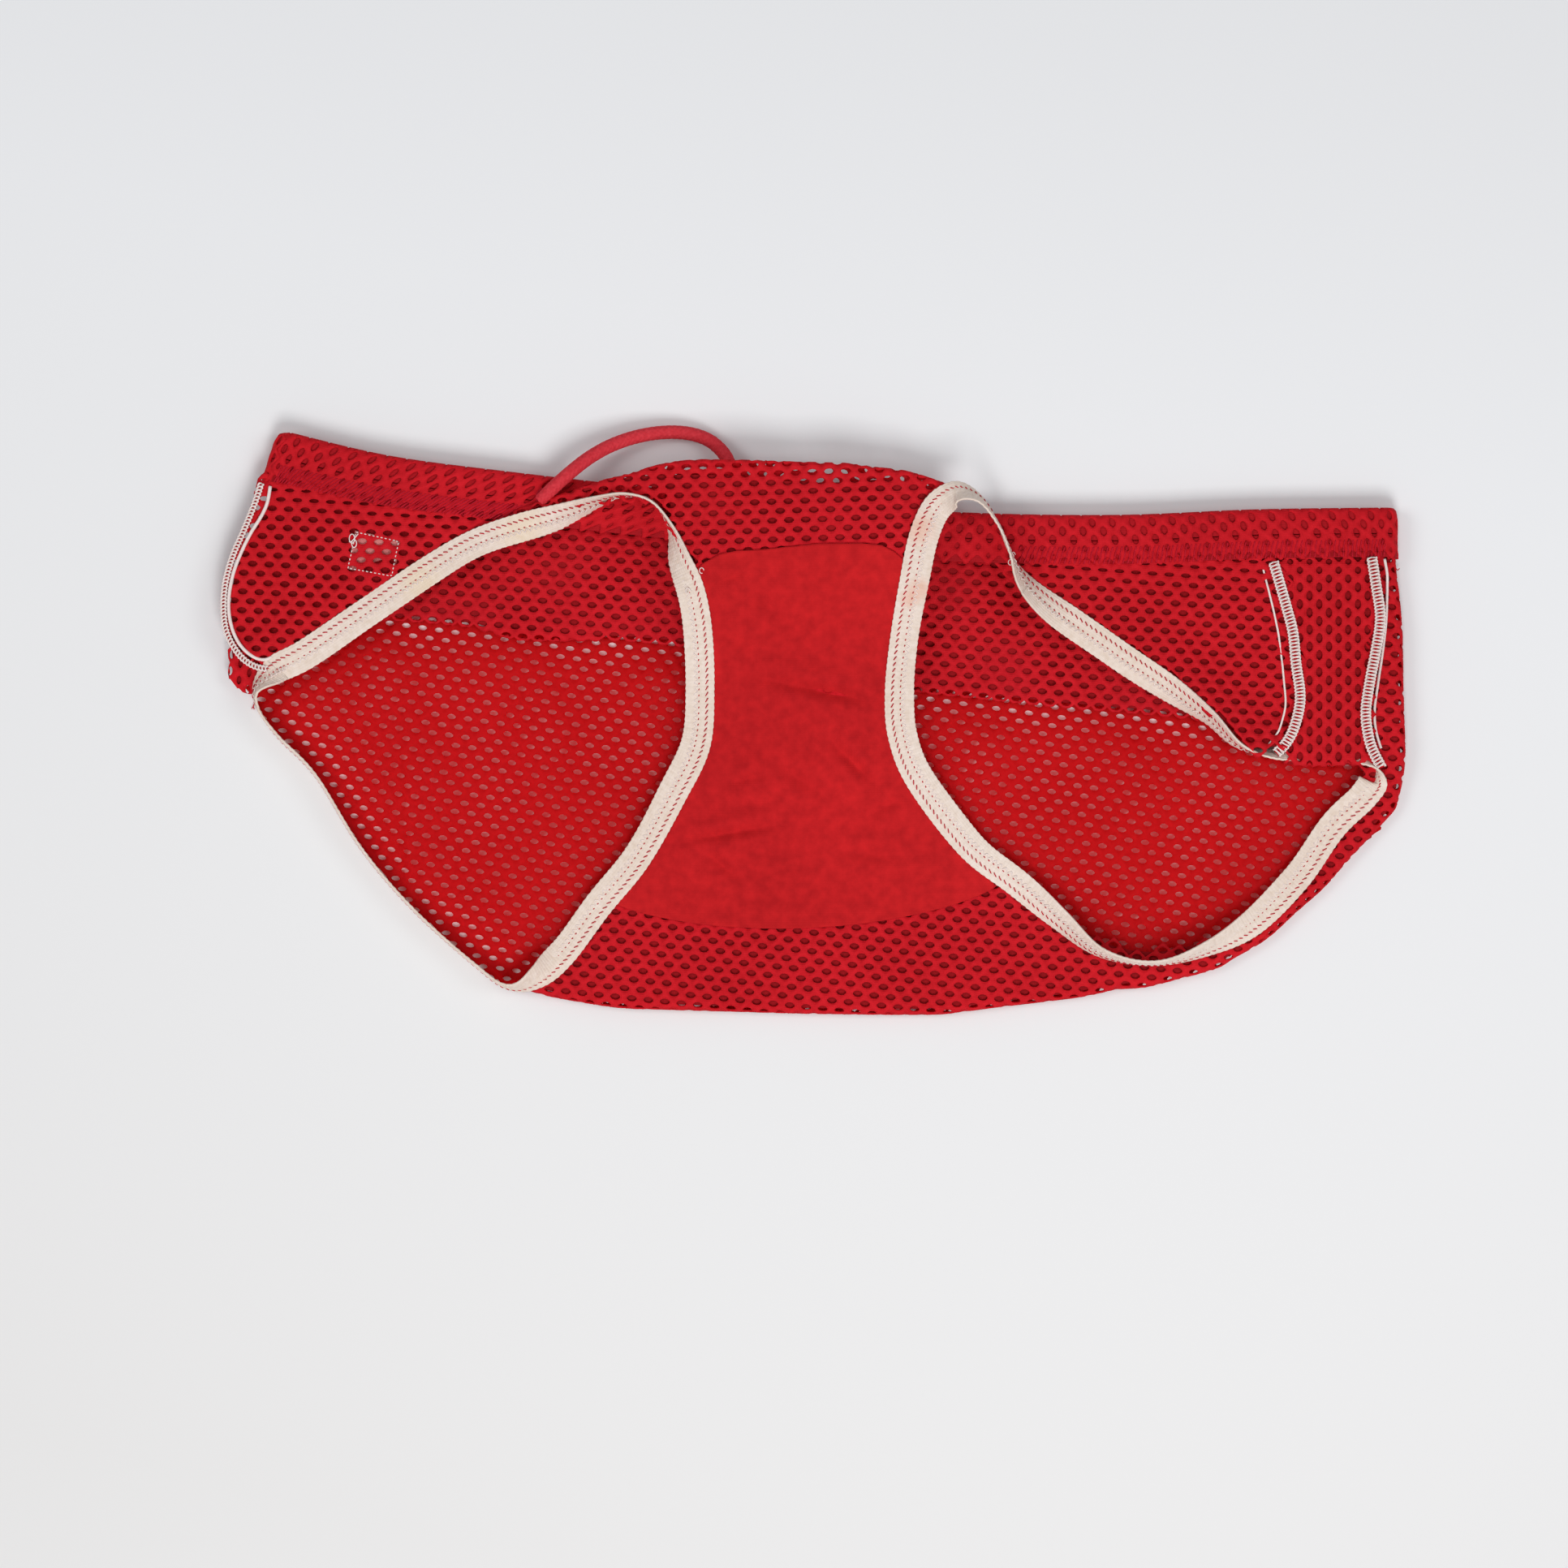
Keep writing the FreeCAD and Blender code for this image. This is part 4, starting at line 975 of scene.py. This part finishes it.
# %% Leg elastics
TAPE_CUT, TAPE_WIDE, TAPE_THICK = 10.0, 9.5, 0.9
TAPE_SHARES = np.array([0, 0.02, 0.08, 0.16, 0.22, 0.26, 0.30, 0.38, 0.46, 0.52, 0.58, 0.66, 0.8, 0.92,
                        0.98, 1])


def tape_frame(stations, step=0.7):
    """Even places along a leg elastic, with the ways across it and up from its face."""
    line = smooth(stations, 16, closed=True)
    line = even(np.vstack([line, line[:1]]), step)[:-1]
    ahead = np.roll(line, -1, 0)[:, :3] - np.roll(line, 1, 0)[:, :3]
    flat = ahead[:, :2] / np.linalg.norm(ahead[:, :2], axis=1)[:, None]
    side = np.column_stack([flat[:, 1], -flat[:, 0], np.zeros(len(line))])
    tilt = np.radians(line[:, 3])[:, None]
    up = np.array([[0, 0, 1.0]])
    return line[:, :3], side * np.cos(tilt) + up * np.sin(tilt), up * np.cos(tilt) - side * np.sin(tilt)


def leg_tape(name, stations):
    base, across, up = tape_frame(stations)
    count, wide = len(base), len(TAPE_SHARES)
    run = np.arange(count)[:, None] * 0.7
    share = TAPE_SHARES[None, :]
    crown = 0.22 * (1 - (2 * share - 1) ** 4)
    dimple = -0.13 * (np.exp(-((share - 0.26) / 0.05) ** 2) + np.exp(-((share - 0.52) / 0.05) ** 2))
    pucker = 0.07 * np.sin(run / 1.05 * math.pi) * (0.5 + share)
    scallop = 0.10 * np.sin(run / 1.05 * math.pi) * np.where(share < 0.05, -1, np.where(share > 0.95, 1, 0))
    sway = 0.25 * np.sin(run / 17.0) + 0.15 * np.sin(run / 7.3)
    rise = TAPE_THICK / 2 + crown + dimple * (1 + np.sin(run / 0.95 * math.pi)) + pucker
    points = (base[:, None] + across[:, None] * (share * TAPE_WIDE + scallop + sway * share)[..., None]
              + up[:, None] * rise[..., None]).reshape(-1, 3)
    coords = np.column_stack([(run + 0 * share).ravel(), (share * TAPE_WIDE + 0 * run).ravel()])
    faces = [(r * wide + c, ((r + 1) % count) * wide + c, ((r + 1) % count) * wide + c + 1, r * wide + c + 1)
             for r in range(count) for c in range(wide - 1)]
    piece = make_mesh(name, points, faces, coords)
    piece.data.flip_normals()
    thicken(piece, TAPE_THICK - 0.25)
    return piece


def across_tape(stations, step, marks):
    """Short threads along a tape: marks gives share and height at each end of a stitch."""
    base, across, up = tape_frame(stations, step)
    ahead = np.roll(base, -1, 0) - base
    paths = []
    for i in range(len(base)):
        paths.append([base[i] + ahead[i] * t + across[i] * share * TAPE_WIDE + up[i] * lift
                      for t, share, lift in marks])
    return paths


TAPES = {"left": LEFT_LEG, "right": RIGHT_LEG}
FACE = TAPE_THICK + 0.12
for side, stations in TAPES.items():
    tape = leg_tape(f"leg_elastic_{side}_tape", stations)
    settle(tape, TAPE_CREAM, "cream_elastic", f"leg_elastic_{side}")
    rows = across_tape(stations, 2.0, [(0.05, 0.215, FACE - 0.2), (0.2, 0.235, FACE + 0.06),
                                       (0.55, 0.275, FACE + 0.06), (0.7, 0.30, FACE - 0.2)])
    rows += across_tape(stations, 2.0, [(0.5, 0.525, FACE - 0.15), (0.62, 0.53, FACE + 0.02),
                                        (0.74, 0.54, FACE - 0.15)])
    red_rows = threads(f"leg_stitching_{side}_red", rows, 0.19)
    settle(red_rows, THREAD_RED, "red_thread", f"leg_stitching_{side}")
    zigzag = across_tape(stations, 2.0, [(0.0, 0.57, FACE - 0.25), (0.12, 0.59, FACE + 0.02),
                                         (0.42, 0.68, FACE + 0.05), (0.5, 0.70, FACE - 0.05),
                                         (0.58, 0.68, FACE + 0.05), (0.88, 0.59, FACE + 0.02),
                                         (1.0, 0.57, FACE - 0.25)])
    pale_rows = threads(f"leg_zigzag_{side}_pale", zigzag, 0.15)
    settle(pale_rows, THREAD_PALE, "pale_thread")

# %% [markdown]
# The seams are overlocked: a strip of raw edge bound by a ladder of pale thread. Beside each runs a thin
# line of pale piping. The ladder is two zigzags that cross, with a chain of small loops down each side.

# %% Seams
def overlock(name, edge, height, wide, pitch=2.3, radius=0.27):
    fine = even(edge, pitch / 8)
    phase = np.arange(len(fine)) / 8 * math.tau
    lines = []
    for start in (0.0, math.pi):
        swing = np.clip(1.35 * np.sin(phase + start), -1, 1)
        side = fine + (strip_points(fine, 1.0) - fine) * (swing * wide / 2)[:, None]
        rise = 1.05 + 0.28 * np.cos(phase + start)
        lines.append(np.column_stack([side, height(side) + rise]))
    for share in (-0.46, 0.46):
        side = (strip_points(fine, wide * share)
                + (fine - strip_points(fine, 1)) * (0.22 * np.sin(2 * phase))[:, None])
        lines.append(np.column_stack([side, height(side) + 0.95 + 0.15 * np.cos(phase * 2)]))
    return threads(name, lines, radius)


def raw_edge(name, edge, height, wide, rise):
    """The bound edges of cloth under the ladder, as a low rounded strip."""
    fine = even(edge, 1.0)
    shares = np.linspace(-1, 1, 9)
    rows = [np.column_stack([strip_points(fine, s * wide / 2), height(fine) + rise * (1 - s ** 4) - 0.1])
            for s in shares]
    count = len(fine)
    faces = [(c * count + r, (c + 1) * count + r, (c + 1) * count + r + 1, c * count + r + 1)
             for c in range(8) for r in range(count - 1)]
    coords = np.vstack([np.column_stack([np.arange(count), np.full(count, s)]) for s in shares])
    piece = make_mesh(name, np.vstack(rows), faces, coords)
    if piece.data.polygons[0].normal.z < 0:
        piece.data.flip_normals()
    thicken(piece, 0.4, -1.0)
    return piece


def seam_height(level):
    return lambda p: level + waves(np.asarray(p)[:, :2], 0.6, 10, 0.9) * 0.5


SEAM_LEVEL = FRONT_LEVEL + 0.55
front_centre_line = even(smooth([(151.5, 53.4), (154, 45), (156, 38), (158, 30), (159, 20), (160.3, 11),
                                 (160, 5), (158, -2), (155.5, -6.5), (152.5, -9.6)]), 1.0)
back_centre_line = even(smooth([(184, 55), (185.5, 45), (186.8, 35), (185.5, 25), (183.5, 15), (182, 5),
                                (182.5, -2), (184, -8), (187.2, -14.5)]), 1.0)
left_outer_line = even(smooth([(-182.6, 79.5), (-184.3, 74), (-186.4, 68.5), (-188.9, 62.5), (-191.6, 56.5),
                               (-193.7, 50), (-194.8, 44), (-195.0, 37), (-194.2, 31), (-192, 26),
                               (-188.6, 21.6),
                               (-184.5, 19.0), (-180.5, 18.2)]), 1.0)
for name, edge, wide, level in (("front_right", front_centre_line, 3.1, SEAM_LEVEL),
                                ("back_right", back_centre_line, 3.1, SEAM_LEVEL),
                                ("left", left_outer_line, 1.5, FRONT_LEVEL + 0.35)):
    under = raw_edge(f"seam_edge_{name}", edge, seam_height(level), wide + 0.5, 0.75)
    settle(under, MESH_RED, "red_mesh")
    ladder = overlock(f"overlock_{name}_thread", edge, seam_height(level), wide)
    settle(ladder, THREAD_PALE, "pale_thread", f"overlock_{name}")

PIPING = {
    "front_right": ([(148, 52.5), (150, 44), (151.5, 38), (153, 31), (154, 25), (155, 15), (155.6, 8),
                     (155.2, 4),
                     (153.5, -2), (151, -5.5), (149, -8)], 0.34, SEAM_LEVEL),
    "back_right": ([(188.3, 54.5), (189.3, 48), (189.2, 40), (188.9, 33), (187.9, 24), (186.4, 14),
                    (185.2, 5),
                    (185.6, -2), (187.3, -8)], 0.45, SEAM_LEVEL),
    "left": ([(-179.6, 78.5), (-180.6, 73), (-182.6, 68.5), (-186, 63), (-189, 57), (-191.6, 50.5),
              (-193, 44),
              (-193.3, 38), (-192.3, 32), (-190.3, 27.3), (-187.6, 24), (-184.4, 21.8), (-181.5, 21.2),
              (-178.8, 22.2)], 0.58, FRONT_LEVEL + 0.75)}
for name, (points, radius, level) in PIPING.items():
    line = even(smooth(points), 0.8)
    run = np.arange(len(line)) * 0.8
    hide = {"front_right": 0.75 * np.clip(np.sin(run / 4.2 + 1.0) * 2 - 0.6, 0, 1),
            "back_right": 1.5 * np.clip((50 - line[:, 1]) / 4, 0, 1),
            "left": 0 * run}[name]
    path = np.column_stack([line, seam_height(level)(line) + 0.55 - hide + 0.05 * np.sin(run * 2.4)])
    piping = threads(f"piping_{name}_line", [path], radius, 8)
    settle(piping, THREAD_PALE, "pale_thread", f"piping_{name}")

# %% [markdown]
# Along the foot of the waistband two rows of cover stitching hold the casing down. Each stitch is a small
# leaning loop of red thread, and between the rows other loops cross from one to the other.

# %% Cover stitching of the waistband
def casing_path(u, v, lift):
    """Places on the waistband's outer face, v millimetres above its foot."""
    return ring_place(np.asarray(u, dtype=float), np.asarray(v, dtype=float) / BAND_HEIGHT,
                      -np.asarray(lift, dtype=float))


HIDDEN_STITCHES = ((-97, -41), (28, 66))
stitches = []
for start in np.arange(1.0, RUN - 1.0, 1.5):
    at = ring_place(np.array([start]), np.array([0.0]), 0.0)[0, 0]
    if any(low < at < high for low, high in HIDDEN_STITCHES):
        continue
    for low, high in ((0.6, 2.4), (4.6, 6.2)):
        stitches.append(casing_path([start, start + 0.2, start + 0.6, start + 0.8],
                                    [low, low + 0.3, high - 0.3, high], [-0.25, 0.12, 0.12, -0.25]))
    stitches.append(casing_path([start + 0.7, start + 0.9, start + 1.3, start + 1.5], [2.2, 2.8, 4.2, 4.8],
                                [-0.3, 0.0, 0.0, -0.3]))
cover = threads("waist_cover_stitches", stitches, 0.17)
settle(cover, THREAD_RED, "red_thread", "waist_cover_stitch")

# %% [markdown]
# A blank label is sewn to the far side of the left front, so it only shows through the holes, inside a
# running stitch. Its knotted thread end stands up at one corner.

# %% Label patch
PATCH_CENTRE, PATCH_TURN = (-145.5, 56.0), -12.0
bpy.ops.object.select_all(action="DESELECT")
bpy.ops.mesh.primitive_grid_add(x_subdivisions=16, y_subdivisions=14, size=1, location=(0, 0, 0))
patch = bpy.context.object
patch.name = patch.data.name = "label_patch_cloth"
bpy.ops.object.mode_set(mode="EDIT")
bpy.ops.mesh.select_all(action="SELECT")
bpy.ops.transform.resize(value=(15.5 * MM, 13.0 * MM, 1))
bpy.ops.transform.rotate(value=math.radians(-PATCH_TURN), orient_axis="Z", center_override=(0, 0, 0))
bpy.ops.transform.translate(value=(PATCH_CENTRE[0] * MM, PATCH_CENTRE[1] * MM, 7.75 * MM))
bpy.ops.object.mode_set(mode="OBJECT")
patch.data.uv_layers[0].name = "cloth"
thicken(patch, 0.4)
settle(patch, LABEL_PALE, "pale_label", "label_patch")

turn = math.radians(PATCH_TURN)
patch_spin = np.array([[math.cos(turn), math.sin(turn)], [-math.sin(turn), math.cos(turn)]])
corners = np.array([(-7.2, 6.0), (7.2, 6.0), (7.4, -5.8), (-7.4, -6.2), (-7.2, 6.0)])
outline = even(corners, 1.35)
dashes = []
for a, b in zip(outline[:-1], outline[1:]):
    mid = a + (b - a) * 0.5
    pair = np.array([a, a + (mid - a) * 0.3, a + (mid - a) * 0.8, mid]) @ patch_spin + PATCH_CENTRE
    level = left_height(pair) + CLOTH / 2
    dashes.append(np.column_stack([pair, level + [-0.3, 0.12, 0.12, -0.3]]))
loop_angle = np.linspace(0, 2.4 * math.pi, 26)
knot_level = float(left_height(np.array([[-152.3, 60.5]]))[0]) + CLOTH / 2
for x, y, wide, high in ((-152.6, 61.2, 0.9, 1.5), (-151.9, 59.6, 0.8, 1.3)):
    dashes.append(np.column_stack([x + wide * np.cos(loop_angle), y + high * np.sin(loop_angle),
                                   knot_level + 0.35 + 0.04 * loop_angle]))
dashes.append(smooth([(-153.6, 60.2, knot_level), (-152.6, 60.4, knot_level + 0.6),
                      (-151.4, 61.8, knot_level + 0.5),
                      (-150.6, 62.8, knot_level + 0.1)], 6))
label_stitch = threads("label_running_stitch", dashes, 0.19)
settle(label_stitch, THREAD_PALE, "pale_thread", "label_stitching")

# %% [markdown]
# Small things last: the worked holes that the drawcord comes through, a red thread end by the left
# elastic, pale knots where the right elastic is joined, and a wisp at the waistband's right end.

# %% Worked holes and loose ends
for side, place in (("left", (-88.9, 74.9)), ("right", (-24.0, 69.4))):
    bpy.ops.object.select_all(action="DESELECT")
    bpy.ops.mesh.primitive_torus_add(major_segments=40, minor_segments=10, major_radius=2.75 * MM,
                                     minor_radius=0.42 * MM, location=(0, 0, 0))
    ring = bpy.context.object
    ring.name = ring.data.name = f"cord_hole_rim_{side}"
    bpy.ops.object.mode_set(mode="EDIT")
    bpy.ops.mesh.select_all(action="SELECT")
    bpy.ops.transform.translate(value=(place[0] * MM, place[1] * MM, (BAND_HIGH + 0.15) * MM))
    bpy.ops.object.mode_set(mode="OBJECT")
    ring.data.uv_layers[0].name = "cloth"
    bpy.ops.object.shade_smooth()
    settle(ring, THREAD_RED, "red_thread", f"cord_eyelet_{side}")

left_end = [smooth([(-184.6, 9.5, 4.0), (-185.4, 8.0, 2.0), (-186.0, 6.8, 0.7), (-187.0, 5.2, 0.3)], 8),
            smooth([(-185.0, 8.6, 3.0), (-185.2, 7.2, 1.2), (-186.4, 6.4, 0.5), (-186.2, 5.0, 0.3)], 8)]
red_end = threads("loose_thread_left_end", left_end, 0.16)
settle(red_end, THREAD_RED, "red_thread", "loose_thread_left")
right_end = [smooth([(190.6, 52.5, 4.0), (192.6, 52.2, 3.4), (193.6, 51.2, 2.6), (194.4, 51.8, 2.2)], 8),
             smooth([(190.2, 51.8, 4.0), (191.6, 50.2, 3.0), (192.4, 49.0, 1.8), (192.0, 47.6, 0.9)], 8)]
wisp = threads("loose_thread_right_end", right_end, 0.15)
settle(wisp, THREAD_RED, "red_thread", "loose_thread_right")
knots = []
for x, y, z in ((65.4, 55.6, 12.6), (64.6, 53.2, 12.0), (-37.0, 50.2, 17.4), (-41.6, 43.6, 16.4)):
    curl_points = np.column_stack([x + 0.7 * np.cos(loop_angle), y + 0.9 * np.sin(loop_angle),
                                   z + 0.05 * loop_angle])
    knots.append(curl_points[:18])
knot_piece = threads("elastic_join_knots", knots, 0.16)
settle(knot_piece, THREAD_PALE, "pale_thread")

# %% [markdown]
# The table is a plain pale sheet, its colour painted a little darker towards the viewer's left and the
# viewer's side: a painted falloff of light. Light is soft and nearly even from above, a touch stronger
# from the viewer's side, so the shadows are short and lie beyond the waistband.

# %% Table and light
bpy.ops.object.select_all(action="DESELECT")
bpy.ops.mesh.primitive_plane_add(size=3.0, location=(0, 0, -0.0002))
table = bpy.context.object
table.name = "table"
table_material = bpy.data.materials.new("table_white")
table_material.use_nodes = True
tree = table_material.node_tree
shader = tree.nodes["Principled BSDF"]
shader.inputs["Roughness"].default_value = 0.9
shader.inputs["Specular IOR Level"].default_value = 0.1
place = tree.nodes.new("ShaderNodeTexCoord")
axes = tree.nodes.new("ShaderNodeSeparateXYZ")
tree.links.new(place.outputs["Object"], axes.inputs[0])
# Painted falloff of light: the table's colour darkens towards the lower left.
painted_falloff = tree.nodes.new("ShaderNodeMapRange")
painted_falloff.inputs["From Min"].default_value, painted_falloff.inputs["From Max"].default_value = -0.30, 0.12
tree.links.new(math_node(tree, "ADD", axes.outputs[1], math_node(tree, "MULTIPLY", axes.outputs[0], 0.25)),
               painted_falloff.inputs["Value"])
painted_falloff_mix = tree.nodes.new("ShaderNodeMix")
painted_falloff_mix.data_type = "RGBA"
painted_falloff_mix.inputs[6].default_value = (0.765, 0.757, 0.750, 1)
painted_falloff_mix.inputs[7].default_value = (0.862, 0.868, 0.880, 1)
tree.links.new(painted_falloff.outputs[0], painted_falloff_mix.inputs[0])
tree.links.new(painted_falloff_mix.outputs[2], shader.inputs["Base Color"])
table.data.materials.append(table_material)


def soft_box(name, place, size, watts, aim=(0, 0, 0)):
    data = bpy.data.lights.new(name, "AREA")
    data.shape = "SQUARE"
    data.size = size
    data.energy = watts
    lamp = bpy.data.objects.new(name, data)
    lamp.location = place
    bpy.context.scene.collection.objects.link(lamp)
    way = [a - b for a, b in zip(aim, place)]
    flat = math.hypot(way[0], way[1])
    lamp.rotation_euler = (math.atan2(flat, -way[2]), 0, math.atan2(way[1], way[0]) - math.pi / 2)
    return lamp


soft_box("soft_box_near", (0.10, -0.70, 1.10), 0.5, 8.5)
soft_box("soft_box_left", (-0.95, 0.15, 1.15), 0.6, 4.9)
soft_box("soft_box_right", (0.95, 0.10, 1.15), 0.6, 3.4)
world = bpy.data.worlds.new("pale_room")
bpy.context.scene.world = world
world.use_nodes = True
world.node_tree.nodes["Background"].inputs["Color"].default_value = (0.96, 0.97, 1.0, 1)
world.node_tree.nodes["Background"].inputs["Strength"].default_value = 0.33
bpy.context.scene.view_settings.view_transform = "Standard"
